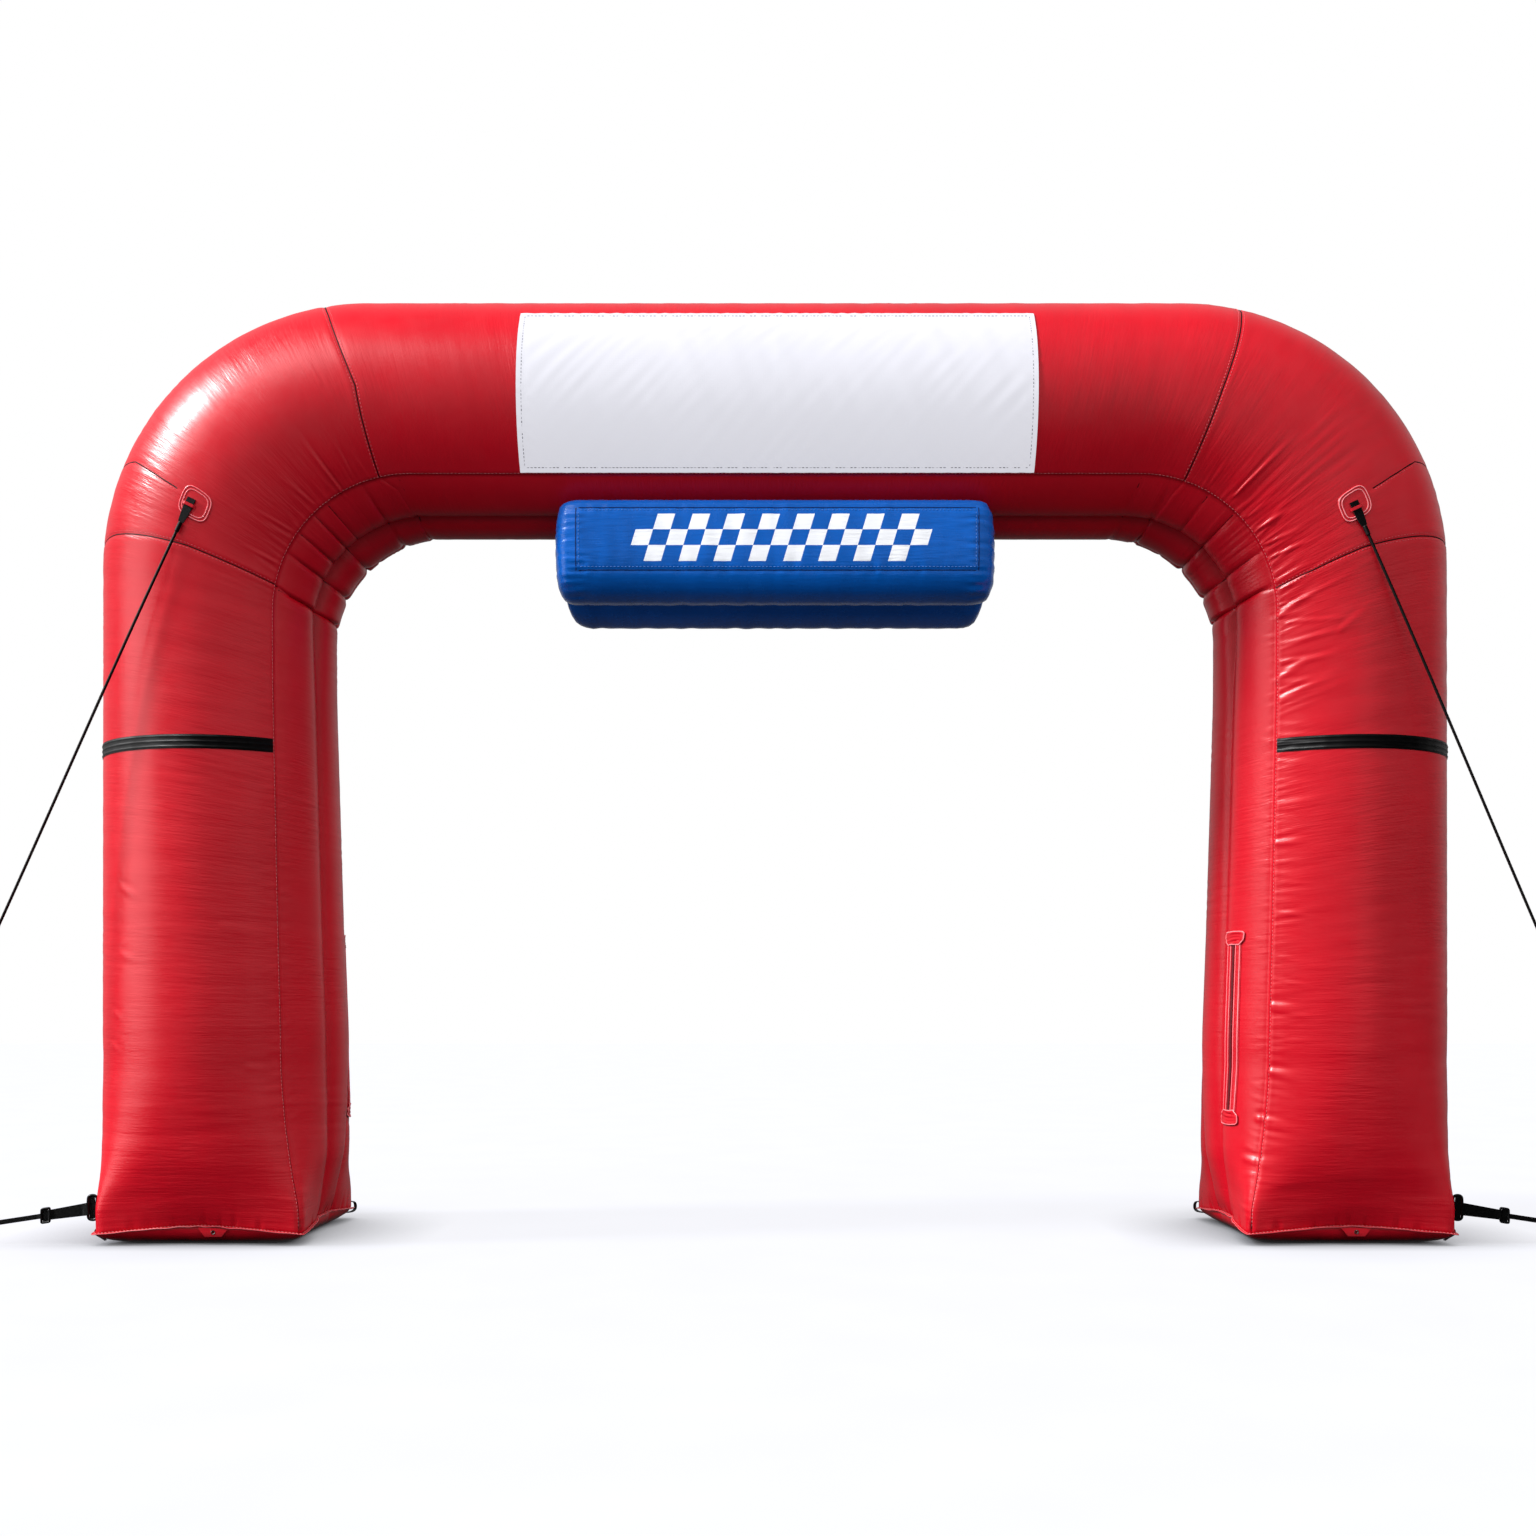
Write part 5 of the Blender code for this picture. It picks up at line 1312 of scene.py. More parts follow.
SEAM_FROM, SEAM_STEP, TURN_STEP = 0.075, 0.014, 0.75
CORD_SINK, CORD_LIFT = -0.0002, 0.0006
CORD_THICK, CORD_HALF_WIDTH, CREASE_HALF_WIDTH, TUCK_HALF_WIDTH = 0.0009, 0.0034, 0.0046, 0.0032
INNER_STITCH_ANGLE = 0.85
SHOULDER_STITCH_ROWS = (("a", -0.0100), ("b", 0.0105))
GORE_STITCH_ROW, GORE_FROM = -0.008, 102
STITCH_WIDTH, SHOULDER_STITCH_WIDTH, STITCH_HEIGHT = 0.0028, 0.0030, 0.0014


def seam_line(side, runs, angles, lift=0.0):
    """A line on the skin, as points and normals, from runs and angles, one of which may be a single value."""
    runs, angles = (np.array(part, float)[:, None] for part in np.broadcast_arrays(runs, angles))
    points, normals = tube_skin(side, runs, angles, lift)
    return points[:, 0], normals[:, 0]


def surface_cord(name, line, normals, finish, thick, half_width, sides=6, closed=False):
    """A cord that lies on a surface, for weld lines and for lines of painted shade and painted highlight."""
    across = np.cross(headings(line, closed), normals)
    profile = circle(sides) * (thick, half_width)
    return sweep(name, line, profile, across, finish, closed=closed, sharp=None)


def seam_cord(name, line, normals, half_width=CORD_HALF_WIDTH):
    """A dark cord of painted shade, drawn down into the groove of a seam, a crease or a tuck."""
    return surface_cord(name, line, normals, "painted_groove_shade", CORD_THICK, half_width, 5)


def seam_stitches(name, line, normals, finish, width, height=LOW_STITCH_HEIGHT):
    """Stitches at the pitch and length set in the sidebar."""
    return stitches(name, line, normals, finish, looks().stitch_pitch, looks().stitch_length, width, height)


def make_long_seams(side):
    """Painted shade in the grooves of the inner seams and creases, and stitches beside the seams, from the bases to
    the middle of the beam.
    """
    runs = np.arange(SEAM_FROM, CENTRE_RUN, SEAM_STEP)
    for label, face in (("front", 1), ("rear", -1)):
        seam_cord(
            named("seam_thread", side, label), *seam_line(side, runs, face * SEAM_ANGLE, CORD_SINK)
        )
        seam_cord(
            named("crease_thread", side, label),
            *seam_line(side, runs, face * LOBE_ANGLE / 2, CORD_SINK), CREASE_HALF_WIDTH,
        )
        seam_stitches(
            named("seam_stitches", side, label),
            *seam_line(side, runs, face * (SEAM_ANGLE + INNER_STITCH_ANGLE)), "pink_thread", STITCH_WIDTH,
            STITCH_HEIGHT,
        )


def turned_angles(low):
    """Section angles from one on the front, round the outside, to the rear inner seam."""
    return np.concatenate([np.arange(low, 180, TURN_STEP), np.arange(-180, -SEAM_ANGLE, TURN_STEP)])


def make_shoulder_seams(side):
    """Painted shade in the grooves, and double stitches, of the seams across a shoulder, and of the short seam
    between them.
    """
    angles = turned_angles(SEAM_ANGLE)
    for label, places in (("low", LEG_SEAMS[side]), ("high", BEAM_SEAMS[side])):
        runs = seam_run(places, angles)
        seam_cord(named("shoulder_thread", side, label), *seam_line(side, runs, angles, CORD_LIFT))
        for row, offset in SHOULDER_STITCH_ROWS:
            seam_stitches(
                named("shoulder_stitches", side, label, row), *seam_line(side, runs + offset, angles),
                "red_thread", SHOULDER_STITCH_WIDTH, STITCH_HEIGHT,
            )
    angles = turned_angles(GORE_FROM)
    runs = seam_run(SHORT_SEAM, angles)
    seam_cord(named("gore_thread", side), *seam_line(side, runs, angles, CORD_LIFT))
    seam_stitches(
        named("gore_stitches", side), *seam_line(side, runs + GORE_STITCH_ROW, angles), "red_thread",
        SHOULDER_STITCH_WIDTH,
    )


def make_tuck_threads(side):
    """Dark lines of painted shade along the tucks of a bend, from one crease to the next."""
    for number, (bend_angle, *pinches) in enumerate(TUCKS[side]):
        for lobe, size in enumerate(pinches):
            if size:
                high = SEAM_ANGLE - lobe * LOBE_ANGLE
                angles = np.linspace(high - 0.6, high - LOBE_ANGLE + 0.6, 26)
                line, normals = seam_line(side, bend_run(bend_angle), angles, CORD_SINK)
                seam_cord(named("tuck_thread", side, str(number), str(lobe)), line, normals, TUCK_HALF_WIDTH)


def make_seams():
    """Painted shade and stitches of the inner seams, the creases, the shoulder seams and the tucks."""
    for side in SIDES:
        make_long_seams(side)
        make_shoulder_seams(side)
        make_tuck_threads(side)


# Rows of the base seam's flange: inset, height and share of its ragged edge. The fifth row is its rim.
FLANGE_ROWS = (
    (0.006, 0.0490, 0.0), (-0.004, 0.0485, 0.4), (-0.011, 0.0475, 0.9), (-0.0135, 0.0480, 1.0),
    (-0.0140, 0.0495, 1.0), (-0.0130, 0.0510, 1.0), (-0.0105, 0.0520, 0.9), (-0.004, 0.0525, 0.4),
    (0.006, 0.0530, 0.0),
)
FLANGE_RIM = 4
RAGGED_DEPTH, RAGGED_INSET, WAVY_HEIGHT = 0.0022, 0.0015, 0.0024
BASE_STITCH_ROW, BASE_STITCH_LIFT = (0.0525, -0.005, 1.0), 0.0006
BASE_STITCHES = (0.016, 0.0085, 0.0022)


def make_base_seams():
    """The doubled flange of the base seam: two ragged layers of cloth, with a pale cord of painted highlight along
    its rim, and stitches.
    """
    angles = np.linspace(-180, 180, 420, endpoint=False)
    place = np.radians(angles)
    for side in SIDES:
        chance = np.random.default_rng(71 + side)
        ragged, wavy = (
            sum(chance.uniform(0.3, 1.0) * np.sin(place * k + chance.uniform(0, 6.3)) for k in counts) / size
            for counts, size in ((range(18, 66, 4), 3.2), (range(14, 40, 3), 3.0))
        )
        rings = []
        for inset, height, share in FLANGE_ROWS:
            points = section(base_stations([(height, inset, 1.0)]), side, angles[None])[0]
            out = unit(points[:, :2] - np.array([side * BASE_CENTRE, 0.0]))
            points[:, :2] += out * (ragged * RAGGED_DEPTH * share - RAGGED_INSET * share)[:, None]
            points[:, 2] += wavy * WAVY_HEIGHT * share
            rings.append(points)
        rings = np.array(rings)
        quads = grid_faces(len(rings), len(angles), True)
        last = (len(rings) - 1) * len(angles)
        first = np.arange(len(angles))
        after = (first + 1) % len(angles)
        closing = np.stack([first + last, after + last, after, first], axis=-1)
        mesh_object(
            named("base_flange", side), rings, np.concatenate([quads, closing]), "red", "arch_tube", sharp=50
        )
        # The pale cord along the flange's rim is painted highlight.
        sweep(
            named("base_cut_edge", side), rings[FLANGE_RIM], circle(6) * (0.0016, 0.0022), UP, "cut_edge",
            closed=True, sharp=None,
        )
        line = section(base_stations([BASE_STITCH_ROW]), side, angles[None])[0]
        line[:, 2] += BASE_STITCH_LIFT
        stitches(
            named("base_stitches", side), line, np.tile(UP, (len(angles), 1)), "pink_thread", *BASE_STITCHES
        )


# The pillow.

PILLOW_RIGHT = (
    (0.350, 3.322), (0.385, 3.308), (0.410, 3.275), (0.421, 3.225), (0.424, 3.125), (0.421, 3.030),
    (0.404, 2.955), (0.358, 2.908), (0.280, 2.888), (0.200, 2.889), (0.120, 2.905), (0.050, 2.938),
)
# Rounded ends: inset from the end, and share of the height and of the depth there.
PILLOW_ENDS = (
    (0.000, 0.56, 0.66), (0.006, 0.70, 0.77), (0.014, 0.80, 0.845), (0.028, 0.895, 0.915), (0.046, 0.950, 0.957),
    (0.070, 0.982, 0.983), (0.105, 1.00, 1.00),
)
PANEL_EDGES = (-0.884, 0.904)
PANEL_HEIGHTS = (2.992, 3.270)
# Depths of the pillow's relief.
SWELL_DEPTH, END_DEPTH, END_REACH, MIDDLE_DEPTH = 0.0011, 0.0022, 0.13, 0.00104
SIDE_SEAM_DEPTH, GATHER_DEPTH, LONG_SEAM_DEPTH, PULL_DEPTH = 0.0045, 0.0023, 0.0040, 0.0012
CAP_SHARES, CAP_BULGE = (0.8, 0.55, 0.3), 0.006
FRONT_Y, FRONT_HEIGHTS = -0.37, (2.93, 3.31)
STITCH_INSET, LOW_STITCH_INSET, STITCH_LIFT = 0.012, 0.014, 0.0012
CORD_REST, PANEL_CORD = 0.0002, (0.0012, 0.0026)
# Heights between which the cloth comes free of the beam's lobes.
FREE_HEIGHTS = (3.315, 3.290)


def pillow_section():
    """Section of the pillow as (Y, Z), with its top against the beam's lobes and two lobes below."""
    top_z, bottom_z = (bend[1] + bend[2] for bend in (OUTER_BEND, INNER_BEND))
    middle_z, radius = (top_z + bottom_z) / 2, (top_z - bottom_z) / 2
    turns = np.radians(LOBE_ANGLE * np.linspace(-1, 1, 25))
    rests = np.stack([TUBE_DEPTH * np.sin(turns), middle_z - radius * np.cos(turns) - SKIN_GAP], axis=-1)
    right = resample(PILLOW_RIGHT, 0.008)
    left = right[::-1] * (-1, 1)
    crease = np.array([(0.0, SIGN_CREASE)])
    return np.concatenate([rests, right, crease, left])


def pillow_relief(x, y, z):
    """How far the pillow's cloth stands out from its smooth shape."""
    end = ridge(SIGN_HALF_LENGTH - np.abs(x), 0.0, END_REACH)
    face = np.abs(y) > 0.30
    inside = (x > PANEL_EDGES[0] - 0.01) & (x < PANEL_EDGES[1] + 0.01)
    found = SWELL_DEPTH * waves(z * 2.2 + y, x, "pillow_swell")
    found = found + end * END_DEPTH * waves(x, z, "pillow_ends") * (np.abs(y) > 0.2)
    found = found - MIDDLE_DEPTH * ridge(x, 0.0, 0.010)
    for edge in PANEL_EDGES:
        found = found - face * SIDE_SEAM_DEPTH * ridge(x, edge, 0.010)
        gather = ridge(x, edge, 0.042) * (1 - ridge(x, edge, 0.008) * 0.5)
        found = found + face * gather * GATHER_DEPTH * waves(x - edge, z, "pillow_gathers")
    for edge in PANEL_HEIGHTS:
        found = found - face * inside * LONG_SEAM_DEPTH * ridge(z, edge, 0.009)
        pull = ridge(z, edge, 0.040) * inside
        found = found + pull * PULL_DEPTH * waves(z, x, "pillow_pulls")
    return found * smooth_share(*FREE_HEIGHTS, z)


def pillow_caps(points):
    """Further rings of points that close the pillow's two ends, and all its faces."""
    rows, columns = points.shape[:2]
    faces = grid_faces(rows, columns, True).tolist()
    flat = points.reshape(-1, 3)
    total = len(flat)
    added = [flat]
    for start, way in ((0, -1), ((rows - 1) * columns, 1)):
        ring = flat[start:start + columns]
        centre = ring.mean(axis=0)
        for step, share in enumerate(CAP_SHARES):
            smaller = centre + (ring - centre) * share
            smaller[:, 0] += CAP_BULGE * (step + 1) * way
            added.append(smaller)
        levels = [np.arange(columns) + start]
        levels += [np.arange(columns) + total + k * columns for k in range(len(CAP_SHARES))]
        for low, high in zip(levels, levels[1:]):
            faces += np.stack([low, np.roll(low, -1), np.roll(high, -1), high], axis=-1).tolist()
        faces.append(levels[-1].tolist())
        total += len(CAP_SHARES) * columns
    return np.concatenate(added), faces


def front_line(points, outline, places, xs, zs, lift):
    """Points lifted off the pillow's wrinkled front face, and its normals there."""
    front = np.flatnonzero(
        (outline[:, 0] < FRONT_Y) & (outline[:, 1] > FRONT_HEIGHTS[0]) & (outline[:, 1] < FRONT_HEIGHTS[1])
    )
    front = front[np.argsort(outline[front, 1])]
    after = np.searchsorted(places, xs)
    share = (xs - places[after - 1]) / (places[after] - places[after - 1])

    def face_y(heights):
        return np.array([
            mix(*(np.interp(z, points[row, front, 2], points[row, front, 1]) for row in (high - 1, high)), part)
            for z, high, part in zip(heights, after, share)
        ])

    slope = (face_y(zs + 0.006) - face_y(zs - 0.006)) / 0.012
    normals = np.stack([0 * slope, 0 * slope - 1, slope], axis=-1) / np.hypot(1, slope)[:, None]
    return np.stack([xs, face_y(zs), zs], axis=-1) + normals * lift, normals


def frame_lines(wide, tall, edges, heights):
    """The four sides of a frame: a row of places at both heights, and a column of places at both edges."""
    return {
        "top": (wide, np.full(len(wide), heights[1])), "bottom": (wide, np.full(len(wide), heights[0])),
        "left": (np.full(len(tall), edges[0]), tall), "right": (np.full(len(tall), edges[1]), tall),
    }


def make_pillow():
    """Pillow under the beam: two inflated lobes, a stitched front panel and wrinkled ends."""
    outline = pillow_section()
    inner = np.linspace(PILLOW_ENDS[-1][0], SIGN_HALF_LENGTH, 75)[1:]
    insets = np.concatenate([[row[0] for row in PILLOW_ENDS], inner])
    places = np.concatenate([insets - SIGN_HALF_LENGTH, (SIGN_HALF_LENGTH - insets)[-2::-1]])
    height, depth = (
        between(PILLOW_ENDS, SIGN_HALF_LENGTH - np.abs(places), column)[:, None] for column in (1, 2)
    )
    x = np.repeat(places[:, None], len(outline), axis=1)
    y = outline[None, :, 0] * depth
    z = mix(SIGN_MIDDLE_Z, outline[None, :, 1], height)
    points = np.stack([x, y, z], axis=-1)
    normals = ring_normals(points)
    row = len(PILLOW_ENDS)
    if (normals[row, :, 2] * (points[row, :, 2] - SIGN_MIDDLE_Z)).sum() < 0:
        normals = -normals
    points = points + normals * pillow_relief(x, y, z)[..., None]
    flat, faces = pillow_caps(points)
    made = mesh_object("pillow_fabric", flat, faces, "blue", "sign_pillow", uv=flat[:, ::2])
    shape = bmesh.new()
    shape.from_mesh(made.data)
    bmesh.ops.recalc_face_normals(shape, faces=shape.faces)
    shape.to_mesh(made.data)
    shape.free()

    edges = (PANEL_EDGES[0] + STITCH_INSET, PANEL_EDGES[1] - STITCH_INSET)
    heights = (PANEL_HEIGHTS[0] + LOW_STITCH_INSET, PANEL_HEIGHTS[1] - STITCH_INSET)
    wide = np.linspace(*edges, 120)
    for label, (xs, zs) in frame_lines(wide, np.linspace(*heights, 30), edges, heights).items():
        line, normals = front_line(points, outline, places, xs, zs, STITCH_LIFT)
        seam_stitches(f"pillow_stitches_{label}", line, normals, "blue_thread", STITCH_WIDTH)
    # Dark cords of painted shade rest in the panel's seams.
    tall = np.linspace(*PANEL_HEIGHTS, 30)
    for label, (xs, zs) in frame_lines(wide, tall, PANEL_EDGES, PANEL_HEIGHTS).items():
        line, normals = front_line(points, outline, places, xs, zs, CORD_REST)
        surface_cord(f"pillow_seam_{label}", line, normals, "painted_blue_seam_shade", *PANEL_CORD)


# Banner and leg bands.

BANNER_EDGES, BANNER_ANGLES = (-1.132, 1.151), (49.0, 133.0)
BANNER_FLAT = (2.283, 0.775)
BANNER_LIFT, BANNER_LEAST, BANNER_THICK = 0.0046, 0.0026, 0.0012
STEEP_DEPTH, SMALL_DEPTH, HEM_PUCKER = 0.0013, 0.0010, 0.0026
HEM_RISE, HEM_GROOVE, JOIN_RISE, JOIN_X = 0.0022, 0.0018, 0.0016, 0.010
HEM_STITCH_INSET, BANNER_STITCHES = 0.022, (0.0165, 0.0110, 0.0036)


def beam_skin(x, angle, lift):
    """Points on the beam's skin at given X and section angle."""
    turn = np.radians(angle)
    radius = (OUTER_BEND[1] + OUTER_BEND[2] - INNER_BEND[1] - INNER_BEND[2]) / 2
    middle = (OUTER_BEND[1] + OUTER_BEND[2] + INNER_BEND[1] + INNER_BEND[2]) / 2
    normal = unit(np.stack([0 * x, -np.sin(turn) * radius, -np.cos(turn) * TUBE_DEPTH], axis=-1))
    points = np.stack([x + 0 * turn, -TUBE_DEPTH * np.sin(turn), middle - radius * np.cos(turn)], axis=-1)
    return points + normal * lift[..., None], normal


def make_banner():
    """White cloth over the front of the beam, with a stitched hem and soft diagonal wrinkles."""
    across, up = np.linspace(0, 1, 150)[:, None], np.linspace(0, 1, 72)[None]
    x = mix(*BANNER_EDGES, across) + 0 * up
    angle = mix(*BANNER_ANGLES, up) + 0 * across
    hoop = angle * HOOP
    length = (BANNER_ANGLES[1] - BANNER_ANGLES[0]) * HOOP
    edge = np.minimum(np.minimum(across, 1 - across) * BANNER_FLAT[0], np.minimum(up, 1 - up) * length)
    calm = smooth_share(0.0, 0.10, edge)
    steep = waves(x * 0.4 - hoop, x + hoop * 0.4, "banner_steep")
    patchy = smooth_share(-0.7, 0.9, waves(x, hoop, "banner_patches"))
    small = waves(x + hoop, x - hoop, "banner_small")
    lift = BANNER_LIFT + STEEP_DEPTH * steep * calm * (1.1 - patchy)
    lift = lift + SMALL_DEPTH * small * (0.4 + 0.6 * calm) * (0.25 + 0.75 * patchy)
    lift = lift + HEM_RISE * ridge(edge, 0.006, 0.009) - HEM_GROOVE * ridge(edge, 0.026, 0.006)
    lift = lift + JOIN_RISE * ridge(x, JOIN_X, 0.007)
    pucker = waves(edge, x + hoop, "banner_hem") * ridge(edge, 0.03, 0.03)
    lift = np.maximum(lift + HEM_PUCKER * pucker, BANNER_LEAST)
    outside, normals = beam_skin(x, angle, lift)
    uv = np.stack([x, hoop], axis=-1)
    cloth = slab("banner_cloth", outside - normals * BANNER_THICK, outside, uv, "white", "banner_panel")

    inset = HEM_STITCH_INSET / HOOP
    edges = (BANNER_EDGES[0] + HEM_STITCH_INSET, BANNER_EDGES[1] - HEM_STITCH_INSET)
    angles = (BANNER_ANGLES[0] + inset, BANNER_ANGLES[1] - inset)
    for label, (xs, turns) in frame_lines(np.linspace(*edges, 150), np.linspace(*angles, 60), edges, angles).items():
        line, normals = beam_skin(xs, turns, np.full(xs.shape, BANNER_LIFT))
        stitches(f"banner_stitches_{label}", line, normals, "white_thread", *BANNER_STITCHES)


BAND_HEIGHT, BAND_WIDTH, BAND_ANGLES = 2.215, 0.062, (48.8, 176.0)
BAND_LIFT, BAND_THICK, BAND_WAVES = 0.0022, 0.0018, 0.0004
RIB_PLACES, RIB_WIDTH, RIB_RISE = (-0.72, 0.0, 0.72), 0.13, 0.0022


def make_bands():
    """Black webbing across the front of each leg, with three raised ribs along it."""
    across = np.linspace(-1, 1, 23)
    angles = np.repeat(np.linspace(*BAND_ANGLES, 110)[:, None], len(across), axis=1)
    height = BAND_HEIGHT + BAND_WIDTH / 2 * across[None] + 0 * angles
    ribs = sum(ridge(across, place, RIB_WIDTH) for place in RIB_PLACES)
    for side in SIDES:
        run = height.copy()
        for _ in range(4):
            run += height - section(stations(run, side), side, angles)[..., 2]
        lift = BAND_LIFT + RIB_RISE * ribs[None]
        lift = lift + BAND_WAVES * waves(across[None] * 0.03, angles * HOOP, "band", side)
        outside, normals = tube_skin(side, run, angles, lift, 0.7)
        inside = outside - normals * BAND_THICK - normals * (BAND_THICK * ribs[None])[..., None]
        uv = np.stack([height, angles * HOOP], axis=-1)
        slab(named("leg_webbing", side), inside, outside, uv, "webbing", named("leg_band", side))


# Deflation zips: a flap with piping along it, and a welded piece over each end.

ZIP_HEIGHTS = (0.52, 1.43)
ZIP_LIFT, ZIP_THICK, ZIP_RIDGE, ZIP_LINE_LIFT = 0.0022, 0.0012, 0.0060, 0.0046
# Pale lines of painted highlight along the pipings, and a dark strip of painted shadow in the gap between them: name,
# share of the way across, finish and half width.
ZIP_LINES = (
    ("a", 0.08, "weld", 0.0034), ("b", 0.33, "weld", 0.0024), ("c", 0.67, "weld", 0.0024),
    ("d", 0.92, "weld", 0.0034), ("tape", 0.50, "shade_strip_cloth", 0.0085),
)
ZIP_LINE_THICK, ZIP_INSET = 0.0016, 0.05
END_LENGTH, END_LIFT, END_THICK, END_RISE, END_WAVES = 0.062, 0.0072, 0.0050, 0.0020, 0.0010
# Share of the flap's width that an end piece overlaps, its half width as its rim sees it, and the curve of its foot.
END_OVERLAP, END_RIM, END_CURVE = 0.36, 0.035, 0.004
# Outline of an end piece: share of its length, and share of its full half width.
END_SHAPE = ((0.0, 0.86), (0.12, 1.0), (0.62, 0.94), (1.0, 0.55))
END_WELD = (0.0020, 0.0032)


def make_zip_flap(side, low, high):
    """The flap of coated cloth over a zip, with its piped edges, pale lines of painted highlight on them and a dark
    strip of painted shadow between them.
    """
    across = np.linspace(0, 1, 29)
    runs = np.linspace(*ZIP_HEIGHTS, 110)[:, None] + 0 * across[None]
    angles = mix(low, high, across)[None] + 0 * runs
    ends = np.minimum(runs - ZIP_HEIGHTS[0], ZIP_HEIGHTS[1] - runs)
    lift = ZIP_LIFT + ZIP_RIDGE * (ridge(np.abs(across[None] - 0.5), 0.31, 0.10) * smooth_share(0.02, 0.05, ends))
    outside, normals = tube_skin(side, runs, angles, lift, 0.5)
    inside = outside - normals * (ZIP_THICK + 0.6 * np.maximum(lift - ZIP_LIFT, 0))[..., None]
    uv = np.stack([angles * HOOP, runs], axis=-1)
    slab(named("zip_flap", side), inside, outside, uv, "red", named("deflation_zip", side))
    runs = np.linspace(ZIP_HEIGHTS[0] + ZIP_INSET, ZIP_HEIGHTS[1] - ZIP_INSET, 160)
    for label, share, finish, width in ZIP_LINES:
        line, normals = seam_line(side, runs, mix(low, high, share), ZIP_LINE_LIFT)
        surface_cord(named("zip_piping", side, label), line, normals, finish, ZIP_LINE_THICK, width, 8)


def make_zip_end(side, label, foot, way, low, high):
    """A rounded piece of coated cloth, welded over an end of a zip."""
    down, across = np.linspace(0, 1, 17)[:, None], np.linspace(-1, 1, 25)[None]
    runs = foot + way * END_LENGTH * down + END_CURVE * across ** 2 * way
    angles = mix(low, high, 0.5) + (1 + END_OVERLAP) / 2 * (high - low) * across * between(END_SHAPE, down)
    rim = np.minimum(np.minimum(down, 1 - down) * END_LENGTH, (1 - np.abs(across)) * END_RIM)
    lift = END_LIFT + END_RISE * ridge(rim, 0.006, 0.004)
    lift = lift + END_WAVES * waves(across * 0.04, down * 0.06, "zip_end", side)
    outside, normals = tube_skin(side, runs, angles, lift, 0.5)
    uv = np.stack([angles * HOOP, runs + 0 * angles], axis=-1)
    slab(named("zip_end", side, label), outside - normals * END_THICK, outside, uv, "red")
    ring, outward = (
        np.concatenate([grid[0], grid[1:, -1], grid[-1, -2::-1], grid[-2:0:-1, 0]]) for grid in (outside, normals)
    )
    surface_cord(named("zip_end_weld", side, label), ring, outward, "weld", *END_WELD, closed=True)


def make_zips():
    """Deflation zips, closed by a welded piece at each end."""
    for side in SIDES:
        low, high = (side * (SEAM_ANGLE - LOBE_ANGLE + LOBE_ANGLE / 6 * place) for place in (1, 3))
        make_zip_flap(side, low, high)
        for label, foot, way in (("top", ZIP_HEIGHTS[1], -1), ("bottom", ZIP_HEIGHTS[0], 1)):
            make_zip_end(side, label, foot, way, low, high)


# Guy patches: their outline is a rounded square on the shoulder's skin.

PATCH_POWER = 3.4
PATCH_LIFT, PATCH_UNDERSIDE, WELD_RISE, WELD_WIDTH = 0.0030, 0.0008, 0.0018, 0.035
WELD_PLACES = {"outer": 0.93, "inner": 0.76}
WELD_LIFT, WELD_LINE = 0.0046, (0.0010, 0.0022)
BRIDGE_THICK, BRIDGE_WIDTH, BRIDGE_STEP = 0.0016, 0.45 * LOOP_WIDTH, 0.0025
# Bridge over the guy webbing: share of the way to its foot, and height over the patch.
BRIDGE_MARKS = (
    (-1.0, 0.0008), (-0.88, 0.0016), (-0.78, 0.0050), (-0.70, 0.0072), (-0.35, 0.0078), (0.0, 0.0080),
    (0.35, 0.0078), (0.70, 0.0072), (0.78, 0.0050), (0.88, 0.0016), (1.0, 0.0008),
)


def patch_places(turn, share):
    """Runs and section angles on a guy patch, at a turn round its middle and a share of the way to its edge."""
    reach = (np.abs(np.cos(turn)) ** PATCH_POWER + np.abs(np.sin(turn)) ** PATCH_POWER) ** (-1 / PATCH_POWER)
    low, high = PATCH_ANGLES
    runs = bend_run(PATCH_BEND_ANGLE) + PATCH_HALF_RUN * share * reach * np.sin(turn)
    return runs, (low + high) / 2 + (high - low) / 2 * share * reach * np.cos(turn)


def make_patch(side):
    """A rounded patch welded to a shoulder with two weld lines."""
    rings, sectors = 18, 72
    share = np.linspace(0.04, 1, rings)[:, None]
    turn = np.linspace(0, 2 * math.pi, sectors, endpoint=False)[None]
    runs, angles = patch_places(turn, share)
    welds = sum(ridge(share, place, WELD_WIDTH) for place in WELD_PLACES.values())
    lift = PATCH_LIFT + WELD_RISE * welds - WELD_RISE * smooth_share(0.96, 1.0, share) + 0 * turn
    outside, normals = tube_skin(side, runs, angles, lift, 0.3)
    inside = outside - normals * (lift - PATCH_UNDERSIDE)[..., None]
    count = rings * sectors
    quads = [grid_faces(rings, sectors, True), grid_faces(rings, sectors, True, start=count)[:, ::-1]]
    edge = np.arange(count - sectors, count)
    after = np.roll(edge, -1)
    quads.append(np.stack([edge, edge + count, after + count, after], axis=-1))
    faces = np.concatenate(quads).tolist() + [list(range(sectors))[::-1], list(range(count, count + sectors))]
    uv = np.stack([angles * HOOP, runs], axis=-1).reshape(-1, 2)
    mesh_object(
        named("guy_patch_fabric", side), np.concatenate([outside.reshape(-1, 3), inside.reshape(-1, 3)]), faces,
        "red", named("guy_patch", side), uv=np.concatenate([uv, uv]), sharp=50,
    )
    turn = np.linspace(0, 2 * math.pi, 96, endpoint=False)
    for label, place in WELD_PLACES.items():
        line, normals = seam_line(side, *patch_places(turn, place), WELD_LIFT)
        surface_cord(named("weld_line", side, label), line, normals, "weld", *WELD_LINE, closed=True)


